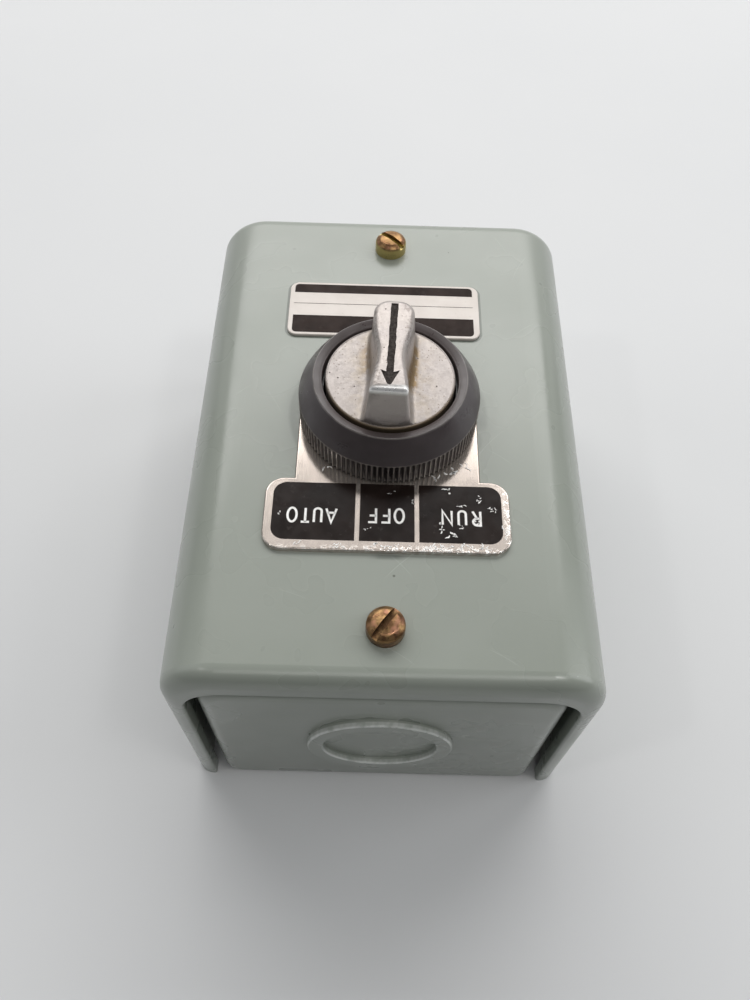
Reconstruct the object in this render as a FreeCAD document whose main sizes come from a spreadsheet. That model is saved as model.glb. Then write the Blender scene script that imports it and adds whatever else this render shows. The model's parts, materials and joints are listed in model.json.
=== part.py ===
import FreeCAD, Part
import os
import re

import Sketcher
from FreeCAD import Placement, Rotation, Vector

# Selector switch control station: a three-position rotary selector in a small sheet-steel enclosure.
# Millimetres. The enclosure lies on its back: Z = 0 is the mounting face and +Z points out of the cover.
# The origin is the middle of the mounting face, and -Y is the conduit end that the pointer aims at in OFF.

SIZES = {
    # Front cover: an inverted channel with a narrow flange round each open end.
    "cover_width": 79.4,
    "cover_length": 114.3,
    "cover_height": 58.7,
    "cover_sheet": 2.8,
    "arch_radius": 11.0,
    "cover_end_radius": 3.5,
    "opening_width": 71.2,
    "opening_height": 52.3,
    "opening_radius": 8.0,
    "opening_edge_radius": 0.5,
    "operator_hole_radius": 15.25,
    # Back pan: floor, low sides, two boxed ends and a tab at the top of each end.
    "pan_width": 67.3,
    "pan_height": 52.0,
    "pan_sheet": 2.0,
    "pan_end_recess": 0.2,
    "pan_top_radius": 6.0,
    "pan_foot_radius": 4.0,
    "pan_end_radius": 3.0,
    "pan_tab_depth": 15.0,
    "pan_side_height": 10.0,
    "knockout_height": 26.5,
    "knockout_inner_radius": 11.1,
    "knockout_outer_radius": 14.3,
    "knockout_step": 1.4,
    "knockout_edge_radius": 0.4,
    "mounting_spacing": 76.2,
    "mounting_hole_radius": 2.8,
    # Screws of the enclosure.
    "cover_screw_place": 46.8,
    "cover_screw_hole_radius": 2.12,
    "cover_screw_clearance_radius": 2.4,
    "cover_screw_radius": 2.08,
    "cover_screw_length": 11.2,
    "cover_screw_head_radius": 3.43,
    "cover_screw_head_side": 2.4,
    "cover_screw_head_height": 3.6,
    "cover_screw_brow_radius": 0.9,
    "cover_screw_point": 0.4,
    "cover_screw_slot_width": 1.2,
    "cover_screw_slot_depth": 1.5,
    "ground_screw_across": 25.0,
    "ground_screw_along": 33.0,
    "ground_screw_radius": 2.3,
    "ground_screw_head_radius": 4.4,
    "ground_screw_head_height": 3.0,
    "ground_screw_slot": 1.2,
    "ground_screw_lift": 0.2,
    # Plates on the cover.
    "nameplate_width": 41.1,
    "nameplate_depth": 15.3,
    "nameplate_across": -1.25,
    "nameplate_along": 27.35,
    "nameplate_sheet": 0.6,
    "nameplate_corner": 2.0,
    "nameplate_edge_radius": 0.2,
    "legend_width": 45.8,
    "legend_near": 32.1,
    "legend_far": 16.7,
    "legend_corner": 3.6,
    "legend_sheet": 1.0,
    "legend_tab_radius": 17.6,
    "legend_hole_radius": 15.1,
    "legend_edge_radius": 0.35,
    # Ring nut: fluted skirt, smooth cone and a lip over the knob's edge.
    "ring_flute_radius": 17.65,
    "ring_flute_height": 5.5,
    "ring_flute_depth": 0.33,
    "ring_flute_count": 108,
    "ring_ridge_radius": 14.7,
    "ring_ridge_height": 11.5,
    "ring_lip_radius": 13.0,
    "ring_lip_height": 11.0,
    "ring_lip_under": 8.5,
    "ring_thread_radius": 15.0,
    "ring_edge_radius": 0.4,
    # Knob: a disc with a waisted lever across it. Heights are above the cover's face.
    "knob_radius": 12.4,
    "knob_disc_height": 11.3,
    "knob_edge_radius": 1.0,
    "knob_lever_height": 21.2,
    "knob_lever_half_length": 11.5,
    "knob_lever_half_width": 4.35,
    "knob_lever_taper": -4.2,
    "knob_waist_width": 2.85,
    "knob_waist_along": 1.0,
    "knob_waist_radius": 40.0,
    "knob_far_corner": 2.6,
    "knob_near_corner": 0.9,
    "knob_top_fillet": 0.8,
    "knob_skirt_radius": 10.9,
    "knob_hub_radius": 8.0,
    "knob_hollow_height": 8.3,
    "knob_socket_height": 9.8,
    "pointer_width": 1.1,
    "pointer_head_width": 3.4,
    "pointer_head_length": 3.2,
    "pointer_far": 9.5,
    "pointer_near": 9.9,
    "pointer_depth": 0.4,
    # Operator casting: threaded tube in front of the cover, square base behind it.
    "gasket_sheet": 1.0,
    "gasket_radius": 19.0,
    "tube_radius": 14.9,
    "tube_height": 8.0,
    "tube_recess_radius": 12.8,
    "tube_floor": 1.8,
    "base_width": 38.0,
    "base_length": 48.0,
    "base_depth": 15.0,
    "base_corner": 3.0,
    "web_depth": 1.5,
    "cavity_radius": 15.5,
    "spring_slot_width": 21.0,
    "spring_slot_length": 31.4,
    "spring_slot_depth": 6.0,
    # Shaft and what turns with it.
    "running_gap": 0.05,
    "shaft_radius": 5.0,
    "spigot_radius": 4.0,
    "spigot_flat": 3.0,
    "spigot_length": 7.8,
    "square_side": 7.07,
    "shaft_tail": 12.0,
    "seal_wire": 0.8,
    "seal_groove_radius": 3.4,
    "seal_groove_width": 1.8,
    "seal_depth": 3.5,
    "washer_sheet": 0.9,
    "washer_radius": 9.0,
    "wheel_radius": 11.8,
    "wheel_sheet": 3.4,
    "notch_ring_radius": 12.0,
    "notch_radius": 1.4,
    "notch_angle": 45.0,
    "cam_radius": 13.0,
    "cam_hub_radius": 6.0,
    "cam_depth": 5.9,
    "cam_plane_depth": 4.1,
    "cam_slope": 0.2514,
    "clip_groove_radius": 3.0,
    "clip_radius": 6.0,
    "clip_sheet": 0.7,
    "clip_mouth": 5.0,
    "set_screw_radius": 1.5,
    "set_screw_height": 5.8,
    "set_screw_slot_width": 0.5,
    "set_screw_slot_depth": 0.8,
    # Detent leaf springs.
    "leaf_sheet": 0.4,
    "leaf_height": 2.8,
    "leaf_bump_radius": 1.35,
    "leaf_reach": 10.0,
    "leaf_end": 15.2,
    # Contact block behind the operator.
    "block_width": 37.0,
    "block_length": 51.0,
    "block_roof": 2.5,
    "block_depth": 25.9,
    "ledge_depth": 16.7,
    "chamber_length": 30.0,
    "chamber_wall": 1.7,
    "middle_wall": 6.0,
    "plate_sheet": 2.0,
    "plate_screw_along": 9.0,
    "plate_screw_radius": 1.2,
    "plate_screw_head_radius": 2.16,
    "plate_screw_head_height": 1.3,
    "plate_screw_bite": 7.0,
    "plate_screw_hole_depth": 8.0,
    "block_screw_along": 20.5,
    "block_screw_radius": 1.7,
    "block_screw_head_radius": 2.8,
    "block_screw_head_height": 2.0,
    "block_screw_reach": 9.6,
    "circuit_across": 9.0,
    "terminal_along": 20.5,
    "terminal_screw_radius": 1.5,
    "terminal_screw_length": 9.2,
    "terminal_screw_head_radius": 2.63,
    "terminal_screw_head_height": 2.0,
    "small_slot_width": 0.8,
    "small_slot_depth": 0.9,
    "strip_width": 6.4,
    "strip_sheet": 1.2,
    "strip_inner": 5.0,
    "strip_outer": 24.0,
    "clamp_side": 7.0,
    "clamp_sheet": 1.0,
    "rivet_along": 7.0,
    "rivet_radius": 1.8,
    "rivet_height": 1.0,
    "contact_gap": 1.65,
    "bridge_length": 18.0,
    "bridge_width": 6.0,
    "bridge_sheet": 1.0,
    # Plungers and their return springs.
    "plunger_radius": 1.6,
    "plunger_tip_radius": 1.5,
    "plunger_tip_drop": 1.627,
    "plunger_collar_radius": 3.0,
    "plunger_collar_height": 1.5,
    "plunger_pin_radius": 1.2,
    "plunger_pin_length": 9.9,
    "spring_radius": 2.5,
    "spring_wire": 0.35,
    "spring_pitch": 1.7,
}

# Levels along Z, as formulas of the sizes above.
FACE = "cover_height"
BASE_TOP = "cover_height - cover_sheet - gasket_sheet"
BASE_FOOT = BASE_TOP + " - base_depth"
WEB_TOP = "cover_height + tube_floor"
WEB_UNDER = BASE_TOP + " - web_depth"
WHEEL_TOP = WEB_UNDER + " - washer_sheet - 2 * running_gap"
WHEEL_FOOT = WHEEL_TOP + " - wheel_sheet"
CAM_FOOT = WHEEL_FOOT + " - cam_depth"
CAM_PLANE = WHEEL_FOOT + " - cam_plane_depth"
BLOCK_FOOT = BASE_FOOT + " - block_depth"
LEDGE = BASE_FOOT + " - ledge_depth"
RIVET_TOP = LEDGE + " + rivet_height"
BRIDGE_FOOT = RIVET_TOP + " + contact_gap + rivet_height"
BRIDGE_TOP = BRIDGE_FOOT + " + bridge_sheet"
DECK = "cover_height + knob_disc_height"
FAR_AWAY = 1000.0
CLEAR = "10"
HALF_TURN = 180.0
SIDES = (-1, 1)

document = FreeCAD.newDocument("control_station")
nodes = []


def fill_sheet():
    """Writes the driving dimensions into the spreadsheet, one aliased row each."""
    sheet = document.addObject("Spreadsheet::Sheet", "Sizes")
    for row, (alias, size) in enumerate(SIZES.items(), start=1):
        sheet.set("A%d" % row, alias)
        sheet.set("B%d" % row, str(size))
        sheet.setAlias("B%d" % row, alias)
    document.recompute()


def formula(text):
    """Turns names of sizes in a formula into references to the sheet."""
    return re.sub(r"[a-z]+(_[a-z]+)+", r"Sizes.\g<0>", text)


def bind(target, name, text):
    target.setExpression(name, formula(text))


def minus(text):
    return "-(%s)" % text


def signed(side, text):
    return text if side > 0 else minus(text)


def half(text):
    return "(%s) / 2" % text


def new_body(label, node=True):
    body = document.addObject("PartDesign::Body", label)
    body.Label = label
    if node:
        nodes.append(body)
    return body


def group(label, members):
    """Joins identical pieces into one node, each still a solid of its own."""
    compound = document.addObject("Part::Compound", label)
    compound.Label = label
    compound.Links = members
    nodes.append(compound)


def move(item, across="0", along="0", up="0", turn=0.0):
    """Places a finished piece: its turn about Z in degrees, and its position by formulas."""
    item.Placement = Placement(Vector(0, 0, 0), Rotation(Vector(0, 0, 1), turn))
    bind(item, "Placement.Base.x", across)
    bind(item, "Placement.Base.y", along)
    bind(item, "Placement.Base.z", up)


# Sketches and features


def new_sketch(body, name, plane, offset="0"):
    sketch = body.newObject("Sketcher::SketchObject", name)
    origin = next(item for item in body.Origin.OriginFeatures if item.Role == plane)
    sketch.AttachmentSupport = [(origin, "")]
    sketch.MapMode = "FlatFace"
    bind(sketch, "AttachmentOffset.Base.z", offset)
    return sketch


def pin_point(sketch, piece, end, across, up):
    """Fixes one point of the sketch by formulas for its two coordinates."""
    for kind, text in (("DistanceX", across), ("DistanceY", up)):
        number = sketch.addConstraint(Sketcher.Constraint(kind, -1, 1, piece, end, 1.0))
        bind(sketch, "Constraints[%d]" % number, text)


def draw_polygon(sketch, corners):
    """A closed outline through corners, each a pair of formulas."""
    first = sketch.GeometryCount
    count = len(corners)
    turns = [Rotation(Vector(0, 0, 1), 2 * HALF_TURN * step / count) for step in range(count)]
    ring = [turn.multVec(Vector(1, 0, 0)) for turn in turns]
    for step in range(count):
        sketch.addGeometry(Part.LineSegment(ring[step], ring[(step + 1) % count]))
    for step, (across, up) in enumerate(corners):
        following = first + (step + 1) % count
        sketch.addConstraint(Sketcher.Constraint("Coincident", first + step, 2, following, 1))
        pin_point(sketch, first + step, 1, across, up)


def draw_circle(sketch, radius, across="0", up="0"):
    piece = sketch.addGeometry(Part.Circle(Vector(1, 1, 0), Vector(0, 0, 1), 1.0))
    pin_point(sketch, piece, 3, across, up)
    number = sketch.addConstraint(Sketcher.Constraint("Radius", piece, 1.0))
    bind(sketch, "Constraints[%d]" % number, radius)


def rectangle(left, right, low, high):
    return [(left, low), (right, low), (right, high), (left, high)]


def centred(width, length):
    return rectangle(minus(half(width)), half(width), minus(half(length)), half(length))


def extrude(body, name, low, high, polygons=(), circles=(), plane="XY_Plane", cut=False):
    """Adds or cuts a prism between two levels along the plane's normal."""
    sketch = new_sketch(body, name + "_outline", plane, low)
    for corners in polygons:
        draw_polygon(sketch, corners)
    for circle in circles:
        draw_circle(sketch, *circle)
    feature = body.newObject("PartDesign::Pocket" if cut else "PartDesign::Pad", name)
    feature.Profile = sketch
    feature.Reversed = cut
    bind(feature, "Length", "(%s) - (%s)" % (high, low))
    return feature


def revolve(body, name, profile, cut=False):
    """Turns a profile of (radius, height) formulas about Z."""
    sketch = new_sketch(body, name + "_profile", "XZ_Plane")
    draw_polygon(sketch, profile)
    feature = body.newObject("PartDesign::Groove" if cut else "PartDesign::Revolution", name)
    feature.Profile = sketch
    feature.ReferenceAxis = (sketch, ["V_Axis"])
    feature.Angle = 2 * HALF_TURN
    return feature


def within(edge, x=(-FAR_AWAY, FAR_AWAY), y=(-FAR_AWAY, FAR_AWAY), z=(-FAR_AWAY, FAR_AWAY)):
    """True if the whole edge lies inside the given spans, with a small allowance."""
    slack = 1e-4
    box = edge.BoundBox
    spans = ((x, box.XMin, box.XMax), (y, box.YMin, box.YMax), (z, box.ZMin, box.ZMax))
    return all(span[0] - slack <= low and high <= span[1] + slack for span, low, high in spans)


def is_level(edge, low):
    """True for an edge that is level and no lower than the given height."""
    return edge.BoundBox.ZLength < 1e-4 and edge.BoundBox.ZMin > low - 0.01


def round_edges(body, name, radius, chosen):
    """Rounds the edges of the body's newest shape that chosen() picks."""
    document.recompute()
    base = body.Tip
    names = ["Edge%d" % number for number, edge in enumerate(base.Shape.Edges, start=1) if chosen(edge)]
    feature = body.newObject("PartDesign::Fillet", name)
    feature.Base = (base, names)
    bind(feature, "Radius", radius)
    return feature


def both(level):
    return (level, level)


def cut_arch(body, name, side, low, high, radius, depth):
    """Cuts a channel along Y whose two upper corners are round."""
    middle = "%s - (%s)" % (side, radius)
    shoulder = "%s - (%s)" % (high, radius)
    spans = {"_middle": rectangle(minus(middle), middle, low, high),
             "_sides": rectangle(minus(side), side, low, shoulder)}
    for suffix, corners in spans.items():
        extrude(body, name + suffix, minus(depth), depth, [corners], plane="XZ_Plane", cut=True)
    bends = [(radius, signed(hand, middle), shoulder) for hand in SIDES]
    extrude(body, name + "_bends", minus(depth), depth, circles=bends, plane="XZ_Plane", cut=True)


# Enclosure


def make_front_cover():
    body = new_body("front_cover")
    side = half("cover_width")
    end = half("cover_length")
    blank = rectangle(minus(side), side, "0", FACE)
    extrude(body, "blank", minus(end), end, [blank], plane="XZ_Plane")
    height = SIZES["cover_height"]
    long_edges = 0.9 * SIZES["cover_length"]
    round_edges(body, "long_bends", "arch_radius",
                lambda edge: within(edge, z=both(height)) and edge.BoundBox.YLength > long_edges)
    round_edges(body, "end_bends", "cover_end_radius",
                lambda edge: edge.BoundBox.YLength < 1e-4 and edge.BoundBox.ZMax > 1.0)
    cut_arch(body, "hollow", side + " - cover_sheet", "-1", FACE + " - cover_sheet",
             "arch_radius - cover_sheet", end + " - cover_sheet")
    cut_arch(body, "opening", half("opening_width"), "-1", "opening_height", "opening_radius", end + " + 1")
    end_level = SIZES["cover_length"] / 2
    rim_half_width = SIZES["opening_width"] / 2
    round_edges(body, "opening_rim", "opening_edge_radius",
                lambda edge: (within(edge, x=(-rim_half_width, rim_half_width))
                              and edge.BoundBox.YLength < 1e-4
                              and abs(abs(edge.BoundBox.YMin) - end_level) < 1e-3
                              and edge.BoundBox.ZMax > 1.0))
    holes = [("operator_hole_radius",)]
    for hand in SIDES:
        holes.append(("cover_screw_clearance_radius", "0", signed(hand, "cover_screw_place")))
    extrude(body, "holes", FACE + " - 2 * cover_sheet", FACE + " + 1", circles=holes, cut=True)


def make_base_pan():
    body = new_body("base_pan")
    side = half("pan_width")
    end = half("cover_length") + " - pan_end_recess"
    blank = rectangle(minus(side), side, "0", "pan_height")
    extrude(body, "blank", minus(end), end, [blank], plane="XZ_Plane")
    height = SIZES["pan_height"]
    long_edges = 0.9 * SIZES["cover_length"]
    round_edges(body, "top_corners", "pan_top_radius",
                lambda edge: within(edge, z=both(height)) and edge.BoundBox.YLength > long_edges)
    round_edges(body, "foot_corners", "pan_foot_radius",
                lambda edge: within(edge, z=both(0)) and edge.BoundBox.YLength > long_edges)
    round_edges(body, "end_bends", "pan_end_radius", lambda edge: edge.BoundBox.YLength < 1e-4)
    mouth = end + " - pan_tab_depth"
    window = rectangle(minus(mouth), mouth, "pan_side_height", "pan_height + 1")
    extrude(body, "window", minus(side + " + 1"), side + " + 1", [window], plane="YZ_Plane", cut=True)
    cut_arch(body, "hollow", side + " - pan_sheet", "pan_sheet", "pan_height - pan_sheet",
             "pan_top_radius - pan_sheet", end + " - pan_sheet")
    tab_holes = [("cover_screw_hole_radius", "0", signed(side, "cover_screw_place")) for side in SIDES]
    extrude(body, "tab_holes", "pan_height - 2 * pan_sheet", "pan_height + 1", circles=tab_holes, cut=True)
    floor_holes = [("mounting_hole_radius", "0", signed(side, half("mounting_spacing"))) for side in SIDES]
    floor_holes.append(("ground_screw_radius", "ground_screw_across", "ground_screw_along"))
    extrude(body, "floor_holes", "-1", "pan_sheet + 1", circles=floor_holes, cut=True)
    make_knockouts(body, end)


def make_knockouts(body, end):
    """Each end has a round blank at wall level inside a ring that is pushed out by one step."""
    radii = ("knockout_outer_radius", "knockout_inner_radius")
    rings = [(radius, "0", "knockout_height") for radius in radii]
    inside = end + " - pan_sheet"
    pushed = inside + " + knockout_step"
    outside = end + " + knockout_step"
    for name, side in (("far", -1), ("near", 1)):
        spans = [(pushed, outside), (inside, pushed)]
        if side < 0:
            spans = [(minus(high), minus(low)) for low, high in spans]
        extrude(body, name + "_knockout_ring", *spans[0], circles=rings, plane="XZ_Plane")
        extrude(body, name + "_knockout_relief", *spans[1], circles=rings, plane="XZ_Plane", cut=True)
    proud = SIZES["cover_length"] / 2 - SIZES["pan_end_recess"] + SIZES["knockout_step"] - SIZES["pan_sheet"]
    round_edges(body, "knockout_rims", "knockout_edge_radius",
                lambda edge: edge.BoundBox.YLength < 1e-4 and abs(edge.BoundBox.YMin) > proud + 1.0)


def make_cover_screw(label, side, turn):
    """Slotted fillister-head screw. Its slot stands at the given angle from X."""
    body = new_body(label)
    top = FACE + " + cover_screw_head_height"
    rim = FACE + " + cover_screw_head_side"
    shoulder = "0.7 * cover_screw_head_radius"
    brow = FACE + " + (2 * cover_screw_head_height + cover_screw_head_side) / 3"
    tip = FACE + " - cover_screw_length"
    profile = [("0", tip), ("cover_screw_radius - cover_screw_point", tip),
               ("cover_screw_radius", tip + " + cover_screw_point"),
               ("cover_screw_radius", FACE), ("cover_screw_head_radius", FACE),
               ("cover_screw_head_radius", rim), (shoulder, brow), ("0", top)]
    revolve(body, "turned", profile)
    rim_level = SIZES["cover_height"] + SIZES["cover_screw_head_side"]
    round_edges(body, "brow", "cover_screw_brow_radius", lambda edge: is_level(edge, rim_level))
    slot = centred("3 * cover_screw_head_radius", "cover_screw_slot_width")
    extrude(body, "slot", top + " - cover_screw_slot_depth", top + " + 1", [slot], cut=True)
    move(body, along=signed(side, "cover_screw_place"), turn=turn)


def make_ground_screw():
    body = new_body("ground_screw")
    shank = [("ground_screw_radius - running_gap",)]
    extrude(body, "shank", "ground_screw_lift", "pan_sheet", circles=shank)
    top = "pan_sheet + ground_screw_head_height"
    extrude(body, "head", "pan_sheet", top, circles=[("ground_screw_head_radius",)])
    slot = centred("3 * ground_screw_head_radius", "ground_screw_slot")
    extrude(body, "slot", top + " - ground_screw_slot", top + " + 1", [slot], cut=True)
    move(body, across="ground_screw_across", along="ground_screw_along")


# Plates and ring nut


def make_nameplate():
    body = new_body("nameplate")
    extrude(body, "plate", FACE, FACE + " + nameplate_sheet", [centred("nameplate_width", "nameplate_depth")])
    round_edges(body, "corners", "nameplate_corner", lambda edge: edge.BoundBox.ZLength > 1e-3)
    top_level = SIZES["cover_height"] + SIZES["nameplate_sheet"]
    round_edges(body, "soft_edge", "nameplate_edge_radius", lambda edge: is_level(edge, top_level))
    move(body, across="nameplate_across", along="nameplate_along")


def make_legend_plate():
    """Position plate with a round tab that the ring nut clamps."""
    body = new_body("legend_plate")
    top = FACE + " + legend_sheet"
    side = half("legend_width")
    outline = rectangle(minus(side), side, minus("legend_near"), minus("legend_far"))
    extrude(body, "plate", FACE, top, [outline])
    round_edges(body, "corners", "legend_corner", lambda edge: edge.BoundBox.ZLength > 1e-3)
    tab = rectangle(minus("legend_tab_radius"), "legend_tab_radius", minus("legend_far + 1"), "0")
    extrude(body, "tab", FACE, top, [tab])
    extrude(body, "tab_end", FACE, top, circles=[("legend_tab_radius",)])
    top_level = SIZES["cover_height"] + SIZES["legend_sheet"]
    round_edges(body, "soft_edge", "legend_edge_radius", lambda edge: is_level(edge, top_level))
    extrude(body, "hole", FACE + " - 1", top + " + 1", circles=[("legend_hole_radius",)], cut=True)


def make_ring_nut():
    body = new_body("ring_nut")
    foot = FACE + " + legend_sheet"
    skirt = foot + " + ring_flute_height"
    under = FACE + " + ring_lip_under"
    profile = [("ring_thread_radius", foot), ("ring_flute_radius", foot), ("ring_flute_radius", skirt),
               ("ring_ridge_radius", FACE + " + ring_ridge_height"),
               ("ring_lip_radius", FACE + " + ring_lip_height"),
               ("ring_lip_radius", under), ("ring_thread_radius", under)]
    revolve(body, "turned", profile)
    skirt_level = SIZES["cover_height"] + SIZES["legend_sheet"] + SIZES["ring_flute_height"]
    round_edges(body, "soft_edges", "ring_edge_radius", lambda edge: is_level(edge, skirt_level))
    flute = extrude(body, "flute", foot + " - 1", skirt + " - 0.6",
                    circles=[("ring_flute_depth", "ring_flute_radius", "0")], cut=True)
    pattern = body.newObject("PartDesign::PolarPattern", "flutes")
    pattern.Originals = [flute]
    pattern.Axis = (flute.Profile[0], ["N_Axis"])
    pattern.Angle = 2 * HALF_TURN
    bind(pattern, "Occurrences", "ring_flute_count")
    body.Tip = pattern


# Knob and shaft


def make_knob():
    """One casting: a hollow disc with a lever across it."""
    knob = document.addObject("Part::Fuse", "knob")
    knob.Label = "knob"
    knob.Base = make_knob_disc()
    knob.Tool = make_knob_lever()
    nodes.append(knob)


def make_knob_disc():
    body = new_body("knob_disc", node=False)
    foot = WEB_TOP + " + running_gap"
    extrude(body, "disc", foot, DECK, circles=[("knob_radius",)])
    deck_level = SIZES["cover_height"] + SIZES["knob_disc_height"]
    round_edges(body, "rim", "knob_edge_radius", lambda edge: within(edge, z=both(deck_level)))
    rings = [("knob_skirt_radius",), ("knob_hub_radius",)]
    extrude(body, "hollow", foot + " - 1", FACE + " + knob_hollow_height", circles=rings, cut=True)
    socket = [("spigot_radius + running_gap",)]
    extrude(body, "socket", foot + " - 1", FACE + " + knob_socket_height", circles=socket, cut=True)
    hole = [("set_screw_radius + running_gap", "0", FACE + " + set_screw_height")]
    extrude(body, "set_screw_hole", minus("knob_radius + 1"), "-1", circles=hole, plane="XZ_Plane", cut=True)
    return body


def make_knob_lever():
    """Tapered and waisted, with a nearly round far end and a nearly square near end."""
    body = new_body("knob_lever", node=False)
    top = FACE + " + knob_lever_height"
    outline = centred("2 * knob_lever_half_width", "2 * knob_lever_half_length")
    block = extrude(body, "lever", DECK + " - knob_edge_radius", top, [outline])
    bind(block, "TaperAngle", "knob_lever_taper")
    length = SIZES["knob_lever_half_length"]
    round_edges(body, "far_corners", "knob_far_corner",
                lambda edge: edge.BoundBox.YMin > length - 2 and edge.BoundBox.ZLength > 5)
    round_edges(body, "near_corners", "knob_near_corner",
                lambda edge: edge.BoundBox.YMax < 2 - length and edge.BoundBox.ZLength > 5)
    centre = "knob_waist_width + knob_waist_radius"
    for name, side in (("left", -1), ("right", 1)):
        circle = ("knob_waist_radius", signed(side, centre), "knob_waist_along")
        extrude(body, name + "_waist", DECK, top + " + 1", circles=[circle], cut=True)
    top_level = SIZES["cover_height"] + SIZES["knob_lever_height"]
    round_edges(body, "rim", "knob_top_fillet", lambda edge: within(edge, z=both(top_level)))
    cut_pointer(body, top)
    return body


def cut_pointer(body, top):
    """Engraved arrow along the lever, its tip towards -Y."""
    shaft = half("pointer_width")
    head = half("pointer_head_width")
    neck = minus("pointer_near - pointer_head_length")
    arrow = [("0", minus("pointer_near")), (head, neck), (shaft, neck), (shaft, "pointer_far"),
             (minus(shaft), "pointer_far"), (minus(shaft), neck), (minus(head), neck)]
    extrude(body, "pointer", top + " - pointer_depth", top + " + 1", [arrow], cut=True)


def make_knob_set_screw():
    body = new_body("knob_set_screw")
    start = "spigot_flat + running_gap"
    height = FACE + " + set_screw_height"
    extrude(body, "thread", minus("knob_hub_radius"), minus(start),
            circles=[("set_screw_radius", "0", height)], plane="XZ_Plane")
    reach = "2 * set_screw_radius"
    edge = "set_screw_slot_width / 2"
    slot = rectangle(minus(reach), reach, "%s - %s" % (height, edge), "%s + %s" % (height, edge))
    extrude(body, "slot", minus("knob_hub_radius + 1"), minus("knob_hub_radius - set_screw_slot_depth"),
            [slot], plane="XZ_Plane", cut=True)


def make_shaft():
    """Round in the casting's web, flatted in the knob and square in the wheel and the cam."""
    body = new_body("shaft")
    tail = WEB_UNDER + " - shaft_tail"
    head = WEB_TOP + " + spigot_length"
    extrude(body, "square", tail, WEB_UNDER, [centred("square_side", "square_side")])
    extrude(body, "journal", WEB_UNDER, WEB_TOP, circles=[("shaft_radius",)])
    extrude(body, "spigot", WEB_TOP, head, circles=[("spigot_radius",)])
    beyond = "2 * spigot_radius"
    flat = rectangle(minus(beyond), beyond, "spigot_flat", beyond)
    extrude(body, "flat", WEB_TOP, head + " + 1", [flat], cut=True)
    seal = WEB_TOP + " - seal_depth"
    cut_ring(body, "seal_groove", "seal_groove_radius", seal + " - seal_groove_width / 2",
             seal + " + seal_groove_width / 2")
    clip = CAM_FOOT + " - running_gap"
    cut_ring(body, "clip_groove", "clip_groove_radius", clip + " - clip_sheet", clip)


def cut_ring(body, name, radius, low, high):
    outer = "2 * shaft_radius"
    revolve(body, name, rectangle(radius, outer, low, high), cut=True)


def make_shaft_seal():
    """Rubber ring in the shaft's groove."""
    seal = document.addObject("Part::Torus", "shaft_seal")
    seal.Label = "shaft_seal"
    bind(seal, "Radius1", "seal_groove_radius + seal_wire")
    bind(seal, "Radius2", "seal_wire")
    move(seal, up=WEB_TOP + " - seal_depth")
    nodes.append(seal)


def make_thrust_washer():
    body = new_body("thrust_washer")
    rings = [("washer_radius",), ("shaft_radius + 2 * running_gap",)]
    extrude(body, "plate", WHEEL_TOP + " + running_gap", WEB_UNDER + " - running_gap", circles=rings)


def square_hole(body, low, high):
    side = "square_side + running_gap"
    extrude(body, "square_hole", low + " - " + CLEAR, high + " + " + CLEAR, [centred(side, side)], cut=True)


def make_index_wheel():
    """Three notches on each side, one for each position of the knob."""
    body = new_body("index_wheel")
    extrude(body, "disc", WHEEL_FOOT, WHEEL_TOP, circles=[("wheel_radius",)])
    notches = []
    for side in SIDES:
        for step in (-1, 0, 1):
            angle = "%d * notch_angle" % step
            notches.append(("notch_radius", "notch_ring_radius * sin(%s)" % angle,
                            signed(side, "notch_ring_radius * cos(%s)" % angle)))
    extrude(body, "notches", WHEEL_FOOT + " - 1", WHEEL_TOP + " + 1", circles=notches, cut=True)
    square_hole(body, WHEEL_FOOT, WHEEL_TOP)


def make_cam():
    """A disc whose rear face slopes along Y, so that turning it pushes one plunger and frees the other."""
    body = new_body("cam")
    deepest = CAM_PLANE + " - cam_slope * cam_radius"
    extrude(body, "disc", deepest, WHEEL_FOOT, circles=[("cam_radius",)])
    reach = "(cam_radius + 1)"
    far = CAM_PLANE + " + cam_slope * " + reach
    near = CAM_PLANE + " - cam_slope * " + reach
    below = deepest + " - 3"
    slope = [(minus(reach), below), (reach, below), (reach, far), (minus(reach), near)]
    extrude(body, "slope", minus(reach), reach, [slope], plane="YZ_Plane", cut=True)
    extrude(body, "hub", CAM_FOOT, WHEEL_FOOT, circles=[("cam_hub_radius",)])
    square_hole(body, CAM_FOOT, WHEEL_FOOT)


def make_retaining_clip():
    body = new_body("retaining_clip")
    top = CAM_FOOT + " - 1.5 * running_gap"
    low = top + " - clip_sheet + running_gap"
    extrude(body, "ring", low, top, circles=[("clip_radius",), ("clip_groove_radius + running_gap",)])
    mouth = rectangle(minus(half("clip_mouth")), half("clip_mouth"), "0", "2 * clip_radius")
    extrude(body, "mouth", low + " - 1", top + " + 1", [mouth], cut=True)


# Operator casting, gasket and detent springs


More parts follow.
